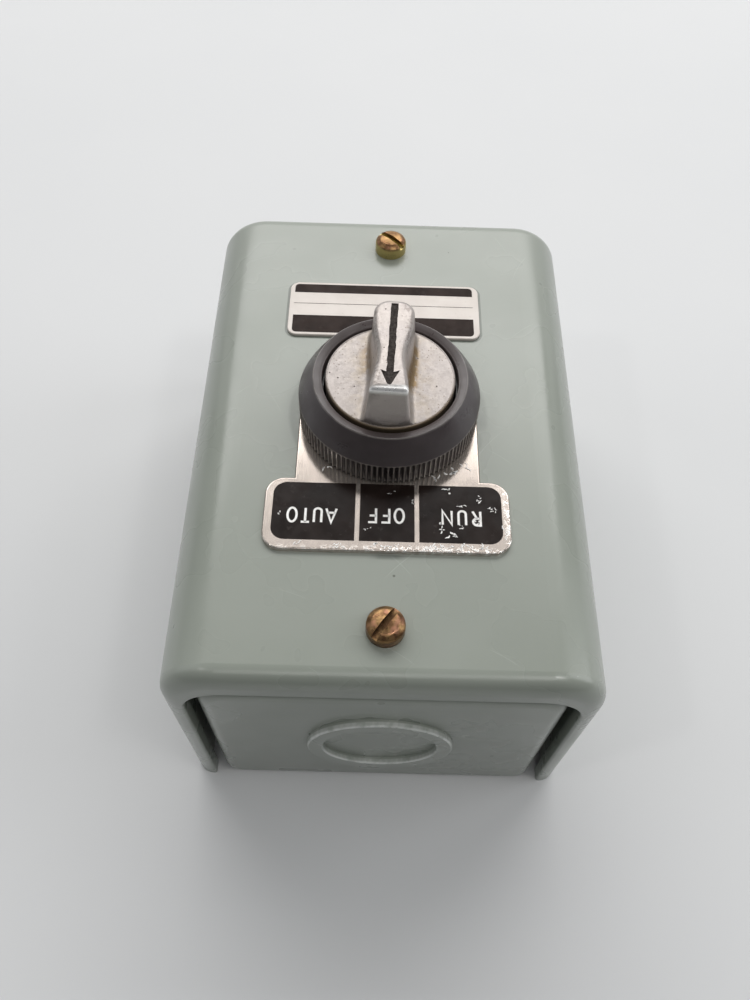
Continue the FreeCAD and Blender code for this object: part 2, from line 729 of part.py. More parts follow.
def make_operator_body():
    body = new_body("operator_body")
    extrude(body, "base", BASE_FOOT, BASE_TOP, [centred("base_width", "base_length")])
    round_edges(body, "corners", "base_corner", lambda edge: edge.BoundBox.ZLength > 1.0)
    extrude(body, "tube", BASE_TOP, FACE + " + tube_height", circles=[("tube_radius",)])
    extrude(body, "recess", WEB_TOP, FACE + " + tube_height + 1", circles=[("tube_recess_radius",)], cut=True)
    bore = [("shaft_radius + running_gap",)]
    extrude(body, "bore", WEB_UNDER + " - 1", WEB_TOP + " + 1", circles=bore, cut=True)
    extrude(body, "cavity", BASE_FOOT + " - 1", WEB_UNDER, circles=[("cavity_radius",)], cut=True)
    slots = centred("spring_slot_width", "spring_slot_length")
    extrude(body, "spring_slots", WEB_UNDER + " - spring_slot_depth", WEB_UNDER, [slots], cut=True)
    holes = [("block_screw_radius + running_gap", "0", signed(side, "block_screw_along")) for side in SIDES]
    extrude(body, "screw_holes", BASE_FOOT + " - 1", BASE_FOOT + " + block_screw_reach + 1", circles=holes,
            cut=True)


def make_panel_gasket():
    body = new_body("panel_gasket")
    rings = [("gasket_radius",), ("operator_hole_radius",)]
    extrude(body, "ring", BASE_TOP, FACE + " - cover_sheet", circles=rings)


def make_index_springs():
    """Two bowed leaves, each with a bump that rests in a notch of the wheel."""
    middle = "(%s + %s) / 2" % (WHEEL_FOOT, WHEEL_TOP)
    low = middle + " - leaf_height / 2"
    high = middle + " + leaf_height / 2"
    leaves = []
    for number, turn in enumerate((0.0, HALF_TURN), start=1):
        body = new_body("index_spring_%d" % number, node=False)
        inner = "leaf_bump_radius - leaf_sheet"
        rings = [("leaf_bump_radius", "0", "notch_ring_radius"), (inner, "0", "notch_ring_radius")]
        extrude(body, "bump", low, high, circles=rings)
        opening = rectangle(minus(inner), inner, "notch_ring_radius", "notch_ring_radius + 3")
        extrude(body, "opening", low + " - 1", high + " + 1", [opening], cut=True)
        for name, side in (("left", -1), ("right", 1)):
            root = signed(side, "leaf_bump_radius - leaf_sheet / 2")
            reach = signed(side, "leaf_reach")
            arm = [(root, "notch_ring_radius"), (reach, "leaf_end"), (reach, "leaf_end + leaf_sheet"),
                   (root, "notch_ring_radius + leaf_sheet")]
            extrude(body, name + "_arm", low, high, [arm])
        move(body, turn=turn)
        leaves.append(body)
    group("index_springs", leaves)


# Contact block


def chamber_spans():
    """The left and the right chamber, as limits across."""
    inner = half("middle_wall")
    outer = half("block_width") + " - chamber_wall"
    return [(minus(outer), minus(inner)), (inner, outer)]


def make_contact_block():
    """Moulded housing: two chambers open at the back, with a terminal ledge at each end."""
    body = new_body("contact_block")
    extrude(body, "ledges", LEDGE, BASE_FOOT, [centred("block_width", "block_length")])
    extrude(body, "walls", BLOCK_FOOT, LEDGE + " + 1", [centred("block_width", "chamber_length")])
    depth = half("chamber_length") + " - chamber_wall"
    chambers = [rectangle(left, right, minus(depth), depth) for left, right in chamber_spans()]
    extrude(body, "chambers", BLOCK_FOOT + " - 1", BASE_FOOT + " - block_roof", chambers, cut=True)
    slots = []
    for side in SIDES:
        reach = "(strip_width / 2 + running_gap)"
        centre = signed(side, "circuit_across")
        slots.append(rectangle("%s - %s" % (centre, reach), "%s + %s" % (centre, reach),
                               LEDGE + " - strip_sheet - running_gap", LEDGE))
    wall = half("chamber_length") + " + 1"
    extrude(body, "strip_slots", minus(wall), wall, slots, plane="XZ_Plane", cut=True)
    guides = [("plunger_radius + running_gap", signed(side, "circuit_across"), "0") for side in SIDES]
    extrude(body, "guides", BASE_FOOT + " - 2 * block_roof", BASE_FOOT + " + 1", circles=guides, cut=True)
    clearance = "block_screw_radius + 2 * running_gap"
    through = [(clearance, "0", signed(side, "block_screw_along")) for side in SIDES]
    extrude(body, "screw_holes", LEDGE + " - 1", BASE_FOOT + " + 1", circles=through, cut=True)
    blind = [("terminal_screw_radius + running_gap", across, along) for across, along in terminal_places()]
    deepest = LEDGE + " + terminal_screw_length"
    extrude(body, "terminal_holes", LEDGE + " - 1", deepest, circles=blind, cut=True)
    plate = [("plate_screw_radius + running_gap", "0", signed(side, "plate_screw_along")) for side in SIDES]
    plate_hole_end = BLOCK_FOOT + " + plate_screw_hole_depth"
    extrude(body, "plate_holes", BLOCK_FOOT + " - 1", plate_hole_end, circles=plate, cut=True)


def terminal_places():
    across = [signed(side, "circuit_across") for side in SIDES]
    along = [signed(end, "terminal_along") for end in SIDES]
    return [(place, reach) for place in across for reach in along]


def make_contact_block_plate():
    """Closes the chambers and carries the return springs."""
    body = new_body("contact_block_plate")
    outline = centred("block_width", "chamber_length")
    extrude(body, "plate", BLOCK_FOOT + " - plate_sheet", BLOCK_FOOT, [outline])
    holes = [("plate_screw_radius + running_gap", "0", signed(side, "plate_screw_along")) for side in SIDES]
    extrude(body, "holes", BLOCK_FOOT + " - plate_sheet - 1", BLOCK_FOOT + " + 1", circles=holes, cut=True)


def screw_group(kind, places, foot, length):
    """Identical slotted screws that enter towards +Z, with their heads below foot."""
    screws = []
    for number, (across, along) in enumerate(places, start=1):
        body = new_body("%s_%d" % (kind, number), node=False)
        extrude(body, "shank", foot, "%s + %s" % (foot, length), circles=[(kind + "_radius",)])
        low = "%s - %s_head_height" % (foot, kind)
        extrude(body, "head", low, foot, circles=[(kind + "_head_radius",)])
        slot = centred("3 * %s_head_radius" % kind, "small_slot_width")
        extrude(body, "slot", low + " - 1", low + " + small_slot_depth", [slot], cut=True)
        move(body, across, along)
        screws.append(body)
    group(kind + "s", screws)


def make_block_fasteners():
    block_places = [("0", signed(side, "block_screw_along")) for side in SIDES]
    screw_group("block_screw", block_places, LEDGE, "ledge_depth + block_screw_reach")
    plate_places = [("0", signed(side, "plate_screw_along")) for side in SIDES]
    screw_group("plate_screw", plate_places, BLOCK_FOOT + " - plate_sheet", "plate_sheet + plate_screw_bite")
    foot = LEDGE + " - strip_sheet - clamp_sheet"
    screw_group("terminal_screw", terminal_places(), foot, "terminal_screw_length")


def make_fixed_contacts():
    """Four strips, each with a contact rivet in its chamber and a terminal on its ledge."""
    strips = []
    for number, (across, along) in enumerate(terminal_places(), start=1):
        body = new_body("fixed_contact_%d" % number, node=False)
        side = half("strip_width")
        outline = rectangle(minus(side), side, "strip_inner", "strip_outer")
        extrude(body, "strip", LEDGE + " - strip_sheet", LEDGE, [outline])
        hole = [("terminal_screw_radius + 2 * running_gap", "0", "terminal_along")]
        extrude(body, "hole", LEDGE + " - 3", LEDGE + " + 1", circles=hole, cut=True)
        extrude(body, "rivet", LEDGE, RIVET_TOP, circles=[("rivet_radius", "0", "rivet_along")])
        move(body, across, turn=0.0 if along == "terminal_along" else HALF_TURN)
        strips.append(body)
    group("fixed_contacts", strips)


def make_terminal_clamps():
    clamps = []
    for number, (across, along) in enumerate(terminal_places(), start=1):
        body = new_body("terminal_clamp_%d" % number, node=False)
        low = LEDGE + " - strip_sheet - clamp_sheet"
        high = LEDGE + " - strip_sheet"
        extrude(body, "saddle", low, high, [centred("clamp_side", "clamp_side")])
        extrude(body, "hole", low + " - 1", high + " + 1",
                circles=[("terminal_screw_radius + 2 * running_gap",)], cut=True)
        move(body, across, along)
        clamps.append(body)
    group("terminal_clamps", clamps)


def make_circuit(name, side):
    """One plunger, its contact bridge and its return spring."""
    place = signed(side, "circuit_across")
    bridge = new_body("contact_bridge_" + name)
    extrude(bridge, "strip", BRIDGE_FOOT, BRIDGE_TOP, [centred("bridge_width", "bridge_length")])
    rivets = [("rivet_radius", "0", signed(end, "rivet_along")) for end in SIDES]
    extrude(bridge, "rivets", BRIDGE_FOOT + " - rivet_height", BRIDGE_FOOT, circles=rivets)
    extrude(bridge, "hole", BRIDGE_FOOT + " - 1", BRIDGE_TOP + " + 1",
            circles=[("plunger_pin_radius + running_gap",)], cut=True)
    move(bridge, place)
    make_plunger("plunger_" + name, place)
    make_return_spring("return_spring_" + name, place)


def make_plunger(label, place):
    """Push rod with a ball tip under the cam, a collar on the bridge and a pin inside the spring."""
    body = new_body(label)
    collar = BRIDGE_TOP + " + running_gap"
    collar_top = collar + " + plunger_collar_height"
    crown = CAM_PLANE + " - plunger_tip_drop"
    extrude(body, "pin", collar + " - plunger_pin_length", collar, circles=[("plunger_pin_radius",)])
    extrude(body, "collar", collar, collar_top, circles=[("plunger_collar_radius",)])
    extrude(body, "stem", collar_top, crown, circles=[("plunger_radius",)])
    tip = body.newObject("PartDesign::AdditiveSphere", "tip")
    bind(tip, "Radius", "plunger_tip_radius")
    bind(tip, "Placement.Base.z", crown)
    move(body, place)


def make_return_spring(label, place):
    """Open coil of round wire that stands on the block's plate."""
    low = BLOCK_FOOT + " + spring_wire"
    helix = document.addObject("Part::Helix", label + "_path")
    bind(helix, "Radius", "spring_radius")
    bind(helix, "Pitch", "spring_pitch")
    bind(helix, "Height", "(%s) - spring_wire - (%s)" % (BRIDGE_FOOT, low))
    ring = document.addObject("Part::Circle", label + "_wire")
    bind(ring, "Radius", "spring_wire")
    ring.Placement = Placement(Vector(0, 0, 0), Rotation(Vector(1, 0, 0), HALF_TURN / 2))
    bind(ring, "Placement.Base.x", "spring_radius")
    coil = document.addObject("Part::Sweep", label)
    coil.Label = label
    coil.Sections = [ring]
    coil.Spine = (helix, ["Edge1"])
    coil.Solid = True
    coil.Frenet = True
    move(coil, place, up=low)
    nodes.append(coil)


# Building, checking and writing


def check_document():
    """Stops if a feature failed, a cut removed nothing or a sub-part has no sound shape."""
    failed = [item.Name for item in document.Objects if "Invalid" in item.State or "Error" in item.State]
    if failed:
        raise RuntimeError("these objects failed: %s" % failed)
    for item in document.Objects:
        if item.TypeId in ("PartDesign::Pocket", "PartDesign::Groove", "PartDesign::Pad"):
            base = item.BaseFeature
            before = base.Shape.Volume if base else 0.0
            change = item.Shape.Volume - before
            grows = item.TypeId == "PartDesign::Pad"
            if (change > 1e-6) != grows:
                raise RuntimeError("%s adds or cuts nothing" % item.Name)
    for node in nodes:
        if node.Shape.isNull() or not node.Shape.isValid():
            raise RuntimeError("%s has no sound shape" % node.Label)


def write_parts():
    os.makedirs("parts", exist_ok=True)
    for node in nodes:
        node.Shape.exportStep(os.path.join("parts", node.Label + ".step"))
        print("%-22s %2d solids %9.1f mm3" % (node.Label, len(node.Shape.Solids), node.Shape.Volume))


def main():
    fill_sheet()
    make_base_pan()
    make_ground_screw()
    make_front_cover()
    make_cover_screw("cover_screw_far", 1, -40.0)
    make_cover_screw("cover_screw_near", -1, 54.0)
    make_nameplate()
    make_legend_plate()
    make_ring_nut()
    make_operator_body()
    make_panel_gasket()
    make_knob()
    make_knob_set_screw()
    make_shaft()
    make_shaft_seal()
    make_thrust_washer()
    make_index_wheel()
    make_index_springs()
    make_cam()
    make_retaining_clip()
    make_contact_block()
    make_contact_block_plate()
    make_block_fasteners()
    make_fixed_contacts()
    make_terminal_clamps()
    make_circuit("left", -1)
    make_circuit("right", 1)
    document.recompute()
    check_document()
    write_parts()


main()
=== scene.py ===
"""Looks of the selector switch control station: materials, print, wear and the finer mesh pieces.

Lengths are millimetres in the row frame until a mesh is made, where MM turns them into metres.
"""
import json
import math
import random

import bmesh
import bpy
from mathutils import Matrix, Vector


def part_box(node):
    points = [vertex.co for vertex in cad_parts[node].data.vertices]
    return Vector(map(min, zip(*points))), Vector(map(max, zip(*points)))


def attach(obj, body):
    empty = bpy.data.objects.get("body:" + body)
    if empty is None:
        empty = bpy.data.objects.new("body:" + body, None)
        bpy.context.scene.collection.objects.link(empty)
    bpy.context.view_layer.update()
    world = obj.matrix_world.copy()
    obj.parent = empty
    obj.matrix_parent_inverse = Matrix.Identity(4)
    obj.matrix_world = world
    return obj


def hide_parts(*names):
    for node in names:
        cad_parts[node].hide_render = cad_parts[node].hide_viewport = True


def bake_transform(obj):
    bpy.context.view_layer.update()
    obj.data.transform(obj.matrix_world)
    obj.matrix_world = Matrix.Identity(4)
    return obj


MM = 0.001
TURN = 2.0 * math.pi

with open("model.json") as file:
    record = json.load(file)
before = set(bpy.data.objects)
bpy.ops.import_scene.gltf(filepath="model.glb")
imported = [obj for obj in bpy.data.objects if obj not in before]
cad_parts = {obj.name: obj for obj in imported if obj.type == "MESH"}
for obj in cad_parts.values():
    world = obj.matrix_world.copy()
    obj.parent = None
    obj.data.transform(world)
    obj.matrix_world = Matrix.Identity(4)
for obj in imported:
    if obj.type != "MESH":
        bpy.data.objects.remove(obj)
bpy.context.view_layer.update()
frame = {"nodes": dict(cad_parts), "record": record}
nodes = frame["nodes"]


def box_mm(node):
    """Lowest and highest corner of a CAD node at rest, in millimetres."""
    low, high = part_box(node)
    return low / MM, high / MM


FACE = box_mm("front_cover")[1].z


# Node materials


class Recipe:
    """One node material under construction. Methods return sockets, and lengths are millimetres."""

    def __init__(self, name):
        self.material = bpy.data.materials.new(name)
        self.material.use_nodes = True
        self.tree = self.material.node_tree
        self.shader = self.tree.nodes["Principled BSDF"]
        coordinates = self.add("ShaderNodeTexCoord").outputs["Object"]
        scaled = self.add("ShaderNodeVectorMath", operation="SCALE")
        self.feed(scaled.inputs[0], coordinates)
        scaled.inputs["Scale"].default_value = 1.0 / MM
        self.place = scaled.outputs[0]
        split = self.add("ShaderNodeSeparateXYZ")
        self.feed(split.inputs[0], self.place)
        self.x, self.y, self.z = split.outputs
        self.normal = None

    def add(self, kind, **settings):
        node = self.tree.nodes.new(kind)
        for key, value in settings.items():
            setattr(node, key, value)
        return node

    def feed(self, socket, value):
        if isinstance(value, bpy.types.NodeSocket):
            self.tree.links.new(value, socket)
        else:
            socket.default_value = value

    def math(self, operation, *values):
        node = self.add("ShaderNodeMath", operation=operation)
        for socket, value in zip(node.inputs, values):
            self.feed(socket, value)
        return node.outputs[0]

    def times(self, first, *others):
        """Product of all the values."""
        for other in others:
            first = self.math("MULTIPLY", first, other)
        return first

    def most(self, first, *others):
        """Largest of all the values."""
        for other in others:
            first = self.math("MAXIMUM", first, other)
        return first

    def stretched(self, stretch):
        node = self.add("ShaderNodeVectorMath", operation="MULTIPLY")
        self.feed(node.inputs[0], self.place)
        node.inputs[1].default_value = stretch
        return node.outputs[0]

    def noise(self, size, detail=3.0, roughness=0.55, stretch=(1, 1, 1), distortion=0.0):
        """Smooth noise from 0 to 1 with features of about the given size."""
        node = self.add("ShaderNodeTexNoise")
        self.feed(node.inputs["Vector"], self.stretched(stretch))
        node.inputs["Scale"].default_value = 1.0 / size
        node.inputs["Detail"].default_value = detail
        node.inputs["Roughness"].default_value = roughness
        node.inputs["Distortion"].default_value = distortion
        return node.outputs["Fac"]

    def spots(self, spacing, radius, stretch=(1, 1, 1), keep=0.5):
        """Scattered round spots: 1 in a spot and 0 outside. keep is the share of cells that have one."""
        node = self.add("ShaderNodeTexVoronoi")
        self.feed(node.inputs["Vector"], self.stretched(stretch))
        node.inputs["Scale"].default_value = 1.0 / spacing
        near = self.ramp(node.outputs["Distance"], radius / spacing, 0.5 * radius / spacing)
        chosen = self.add("ShaderNodeSeparateColor")
        self.feed(chosen.inputs[0], node.outputs["Color"])
        kept = self.math("LESS_THAN", chosen.outputs[0], keep)
        return self.times(near, kept)

    def ramp(self, value, low, high, bottom=0.0, top=1.0):
        """Goes smoothly from bottom to top as value goes from low to high."""
        node = self.add("ShaderNodeMapRange", interpolation_type="SMOOTHSTEP", clamp=True)
        for socket, number in zip(node.inputs, (value, low, high, bottom, top)):
            self.feed(socket, number)
        return node.outputs[0]

    def scratches(self, spacing, angle, width=0.04, length=7.0, share=0.3):
        """Scattered thin dashes seen from above, bowed and tilted a little either side of an angle."""
        turned = self.add("ShaderNodeVectorRotate", rotation_type="Z_AXIS")
        self.feed(turned.inputs["Vector"], self.place)
        turned.inputs["Angle"].default_value = math.radians(angle)
        flat = self.add("ShaderNodeVectorMath", operation="MULTIPLY")
        self.feed(flat.inputs[0], turned.outputs[0])
        flat.inputs[1].default_value = (1.0 / spacing, 1.0 / spacing, 0.0)
        cells = self.add("ShaderNodeTexVoronoi", voronoi_dimensions="2D")
        self.feed(cells.inputs["Vector"], flat.outputs[0])
        cells.inputs["Scale"].default_value = 1.0
        away = self.add("ShaderNodeVectorMath", operation="SUBTRACT")
        self.feed(away.inputs[0], flat.outputs[0])
        self.feed(away.inputs[1], cells.outputs["Position"])
        split = self.add("ShaderNodeSeparateXYZ")
        self.feed(split.inputs[0], away.outputs[0])
        along = self.times(split.outputs[0], spacing)
        across = self.times(split.outputs[1], spacing)
        chosen = self.add("ShaderNodeSeparateColor")
        self.feed(chosen.inputs[0], cells.outputs["Color"])
        lean = self.times(along, self.math("SUBTRACT", chosen.outputs[1], 0.5))
        bow = self.times(self.math("POWER", along, 2.0), 0.02)
        gap = self.math("ABSOLUTE", self.math("ADD", self.math("ADD", across, lean), bow))
        line = self.ramp(gap, width, 0.3 * width)
        ends = self.ramp(self.math("ABSOLUTE", along), 0.5 * length, 0.2 * length)
        kept = self.math("LESS_THAN", chosen.outputs[0], share)
        return self.times(line, ends, kept)

    def mix(self, factor, first, second):
        node = self.add("ShaderNodeMix", data_type="RGBA")
        self.feed(node.inputs[0], factor)
        self.feed(node.inputs[6], colour(first))
        self.feed(node.inputs[7], colour(second))
        return node.outputs[2]

    def bump(self, height, depth):
        """Adds relief: height runs from 0 to 1 over the given depth."""
        node = self.add("ShaderNodeBump")
        self.feed(node.inputs["Height"], height)
        node.inputs["Distance"].default_value = depth * MM
        if self.normal is not None:
            self.feed(node.inputs["Normal"], self.normal)
        self.normal = node.outputs[0]

    def inside(self, value, low, high, soft):
        """1 where value is between low and high, fading over the soft distance."""
        rise = self.ramp(value, low - soft, low + soft)
        fall = self.ramp(value, high + soft, high - soft)
        return self.times(rise, fall)

    def distance(self, x, y):
        """Distance from the vertical line through (x, y)."""
        across = self.math("SUBTRACT", self.x, x)
        along = self.math("SUBTRACT", self.y, y)
        squares = self.math("ADD", self.math("POWER", across, 2.0), self.math("POWER", along, 2.0))
        return self.math("SQRT", squares)

    def beside(self, low, high, corner, reach):
        """1 in a strip of the given width round the outside of a round-cornered box, seen from above."""
        squares = []
        for value, near, far in ((self.x, low.x, high.x), (self.y, low.y, high.y)):
            off_middle = self.math("ABSOLUTE", self.math("SUBTRACT", value, (near + far) / 2))
            gap = self.math("SUBTRACT", off_middle, (far - near) / 2 - corner)
            squares.append(self.math("POWER", self.most(gap, 0.0), 2.0))
        gap = self.math("SUBTRACT", self.math("SQRT", self.math("ADD", *squares)), corner)
        return self.inside(gap, -1.0, reach, 0.10)

    def crevice(self, reach):
        """1 deep in corners and under overhangs, 0 in the open; a mask for painted shade."""
        node = self.add("ShaderNodeAmbientOcclusion", samples=8)
        node.inputs["Distance"].default_value = reach * MM
        return self.ramp(node.outputs["AO"], 0.85, 0.35)

    def finish(self, base, roughness, metallic=0.0, **others):
        self.feed(self.shader.inputs["Base Color"], colour(base))
        self.feed(self.shader.inputs["Roughness"], roughness)
        self.feed(self.shader.inputs["Metallic"], metallic)
        for name, value in others.items():
            self.feed(self.shader.inputs[name.replace("_", " ")], value)
        if self.normal is not None:
            self.feed(self.shader.inputs["Normal"], self.normal)
        return self.material


def colour(value):
    return (*value, 1.0) if isinstance(value, tuple) else value


def enamel():
    """Glossy grey-green stove enamel with orange peel and handling marks, painted shade round the ring,
    painted shadow with grime round the nameplate and painted highlights on the knockout rings.
    """
    look = Recipe("enamel")
    base = look.mix(look.noise(26.0, detail=3.0), (0.268, 0.291, 0.256), (0.288, 0.311, 0.275))
    radius = look.distance(0.0, 0.0)
    on_face = look.ramp(look.z, FACE - 0.3, FACE - 0.1)
    uneven = look.ramp(look.noise(7.0), 0.3, 0.6)
    # Painted shade: a darker band round the ring, standing in for the ring's shadow and reflection in the
    # paint.
    ring_shade = look.times(look.inside(radius, 17.0, 19.8, 0.5), uneven)
    # Painted shadow with grime: a dark strip round the outside of the nameplate.
    plate_shadow_and_grime = look.beside(*box_mm("nameplate"), 2.0, 0.55)
    foot = look.times(look.inside(look.x, -2.2, 3.0, 1.4), look.inside(look.y, -33.2, -32.2, 0.3))
    # The painted shade round the ring and the painted shadow round the nameplate join a stain below the
    # legend, darkening the face.
    marks = look.most(look.times(ring_shade, 0.4), look.times(plate_shadow_and_grime, 0.9))
    marks = look.most(marks, look.times(foot, uneven, 0.65))
    base = look.mix(look.times(marks, on_face), base, (0.11, 0.125, 0.105))
    smear = look.ramp(look.noise(11.0, detail=3.0, stretch=(0.5, 1, 1)), 0.2, 0.9)
    base = look.mix(look.times(smear, 0.12), base, (0.22, 0.25, 0.2))
    specks = look.most(look.spots(6.5, 0.2, keep=0.16), look.ramp(look.distance(1.4, -36.5), 0.3, 0.18))
    base = look.mix(look.times(specks, 0.75), base, (0.05, 0.055, 0.04))
    pale = look.spots(8.0, 0.14, keep=0.22)
    base = look.mix(look.times(pale, 0.6), base, (0.62, 0.66, 0.62))
    lines = look.most(look.scratches(11.0, 37.0), look.scratches(16.0, -64.0, 0.05, 12.0))
    lines = look.times(lines, on_face)
    base = look.mix(look.times(lines, 0.36), base, (0.6, 0.64, 0.6))
    # Painted highlights: the knockout rings' upper outer edge and lower inner edge on the end walls are
    # lightened, broken up by noise.
    knockout_height = 26.5
    ring_depth = 0.9
    end_face = box_mm("base_pan")[1].y - ring_depth
    outwards = look.math("SUBTRACT", look.math("ABSOLUTE", look.y), end_face)
    up = look.math("SUBTRACT", look.z, knockout_height)
    squares = look.math("ADD", look.math("POWER", look.x, 2.0), look.math("POWER", up, 2.0))
    knockout = look.math("SQRT", squares)
    upper_edge_highlight = look.times(look.inside(knockout, 13.95, 14.3, 0.08), look.ramp(up, -3.0, 6.0))
    lower = look.times(look.inside(knockout, 11.1, 11.45, 0.08), look.ramp(up, 3.0, -6.0))
    edges = look.times(look.most(upper_edge_highlight, lower), look.ramp(outwards, -0.2, 0.1))
    edges = look.times(edges, look.ramp(look.noise(2.4, detail=3.0), 0.3, 0.55, 0.35, 1.0))
    base = look.mix(look.times(edges, 0.75), base, (0.8, 0.82, 0.8))
    rough = look.ramp(look.noise(13.0, detail=2.0), 0.25, 0.8, 0.24, 0.36)
    look.bump(look.noise(2.6, detail=2.0), 0.012)
    look.bump(look.noise(24.0, detail=0.0), 0.06)
    look.bump(look.math("SUBTRACT", 1.0, look.most(lines, specks)), 0.01)
    return look.finish(base, rough, Specular_IOR_Level=0.5, Coat_Weight=0.25, Coat_Roughness=0.20)


def black_phenolic():
    """Satin black moulding, worn brown-grey on the rib edges, with painted shade in the flute grooves and a
    painted lighter top round the bore.
    """
    look = Recipe("black_phenolic")
    sheen = look.ramp(look.noise(9.0, detail=4.0), 0.3, 0.7)
    base = look.mix(sheen, (0.041, 0.0315, 0.0325), (0.057, 0.0450, 0.0465))
    radius = look.distance(0.0, 0.0)
    ribs = look.ramp(radius, 17.50, 17.62)
    low = look.ramp(look.z, FACE + 7.0, FACE + 6.1)
    worn = look.times(ribs, low, look.ramp(look.noise(2.2), 0.22, 0.55))
    base = look.mix(look.times(worn, 0.92), base, (0.36, 0.315, 0.285))
    # Painted shade: the flute grooves of the skirt are darkened.
    flute_shade = look.times(look.ramp(radius, 17.45, 17.25), low)
    base = look.mix(look.times(flute_shade, 0.85), base, (0.012, 0.009, 0.008))
    # Painted light: the ring's upward-facing top between bore and ridge is lightened.
    inner = look.inside(radius, 12.9, 14.45, 0.12)
    base = look.mix(look.times(inner, 0.55), base, (0.09, 0.073, 0.07))
    ridge = look.inside(radius, 14.56, 14.80, 0.05)
    high = look.ramp(look.z, FACE + 11.0, FACE + 11.35)
    rubbed = look.ramp(look.noise(3.0, detail=3.0), 0.30, 0.55, 0.25, 0.60)
    base = look.mix(look.times(ridge, high, rubbed), base, (0.26, 0.235, 0.22))
    dust = look.spots(2.4, 0.11, keep=0.22)
    base = look.mix(look.times(dust, 0.6), base, (0.34, 0.31, 0.29))
    rough = look.ramp(look.noise(4.0, detail=4.0), 0.3, 0.7, 0.27, 0.44)
    look.bump(look.noise(0.5, detail=4.0), 0.012)
    look.bump(look.noise(5.0, detail=2.0), 0.05)
    return look.finish(base, rough, Specular_IOR_Level=0.62)


def knob_metal(turn):
    """Satin aluminium casting with pits and grime beside the lever, darker brown at the rim towards -Y, a
    painted lighter near face and a painted highlight on the lever's near top edge.
    """
    look = Recipe("knob_metal")
    deck = FACE + 11.3
    cosine, sine = math.cos(turn), math.sin(turn)
    across = look.math("ADD", look.times(look.x, cosine), look.times(look.y, sine))
    along = look.math("SUBTRACT", look.times(look.y, cosine), look.times(look.x, sine))
    cast = look.ramp(look.noise(0.42, detail=6.0, roughness=0.75), 0.30, 0.70)
    base = look.mix(cast, (0.365, 0.331, 0.315), (0.462, 0.423, 0.404))
    broad = look.ramp(look.noise(5.0, detail=3.0), 0.35, 0.65)
    base = look.mix(look.times(broad, 0.3), base, (0.5, 0.45, 0.405))
    flat = look.ramp(look.z, deck + 1.0, deck + 0.2)
    base = look.mix(look.times(flat, 0.36), base, (0.262, 0.238, 0.226))
    low = look.ramp(look.z, deck + 5.5, deck + 0.6)
    blotchy = look.ramp(look.noise(1.3, detail=4.0), 0.24, 0.52)
    lean = look.math("SUBTRACT", across, look.times(along, 0.1))
    right = look.times(look.inside(lean, 2.8, 5.1, 0.6), look.inside(along, -3.6, 6.8, 1.6))
    left = look.times(look.inside(across, -5.6, -3.0, 1.0), look.inside(along, 0.5, 7.6, 1.6))
    grime = look.math("ADD", right, look.times(left, 0.48))
    grime = look.times(grime, low, blotchy)
    base = look.mix(look.math("MINIMUM", look.times(grime, 1.1), 0.88), base, (0.215, 0.135, 0.05))
    film = look.times(look.inside(across, -7.5, 7.5, 2.0), look.ramp(look.z, deck + 2.0, deck + 0.2))
    film = look.times(film, look.ramp(look.noise(2.6, detail=4.0), 0.38, 0.66))
    base = look.mix(look.times(film, 0.28), base, (0.36, 0.29, 0.19))
    radius = look.distance(0.0, 0.0)
    # Darker brown on the disc's rim, below the deck and towards -Y.
    rim = look.times(look.ramp(radius, 11.85, 12.25), look.ramp(look.y, 3.0, -8.0))
    rim = look.times(rim, look.ramp(look.z, deck + 0.3, deck - 0.1))
    base = look.mix(look.times(rim, 0.85), base, (0.145, 0.1, 0.05))
    freckles = look.times(look.spots(0.55, 0.14, keep=0.34), look.ramp(look.noise(4.5), 0.34, 0.58))
    base = look.mix(look.times(freckles, 0.75), base, (0.15, 0.11, 0.075))
    pits = look.spots(1.7, 0.19, keep=0.26)
    base = look.mix(look.times(pits, 0.9), base, (0.045, 0.035, 0.03))
    shoulder = look.inside(look.math("ABSOLUTE", across), 2.5, 3.8, 0.35)
    shoulder = look.times(shoulder, look.ramp(look.z, deck + 6.4, deck + 7.6))
    shoulder = look.times(shoulder, look.ramp(look.noise(0.9, detail=5.0, roughness=0.7), 0.47, 0.57))
    base = look.mix(look.times(shoulder, 0.5), base, (0.15, 0.125, 0.115))
    # Painted light: the lever's near face is lightened from a little above the deck up.
    near_face_light = look.times(look.ramp(along, -10.7, -11.1), look.ramp(look.z, deck + 0.5, deck + 2.5))
    base = look.mix(look.times(near_face_light, 0.75), base, (0.72, 0.66, 0.64))
    # Painted highlight: the lever's near top edge is whitened, and there its roughness is lowered a little.
    brow_highlight = look.times(look.ramp(along, -9.9, -10.5), look.ramp(look.z, deck + 8.0, deck + 8.9))
    base = look.mix(look.times(brow_highlight, 0.95), base, (1.0, 0.99, 0.98))
    rough = look.ramp(look.noise(0.8, detail=5.0), 0.3, 0.7, 0.36, 0.48)
    rough = look.math("SUBTRACT", rough, look.times(brow_highlight, 0.1))
    look.bump(look.noise(0.30, detail=5.0, roughness=0.65), 0.016)
    look.bump(look.noise(2.3, detail=2.0), 0.035)
    look.bump(look.math("SUBTRACT", 1.0, look.most(pits, look.times(freckles, 0.5))), 0.05)
    return look.finish(base, rough, metallic=0.62)


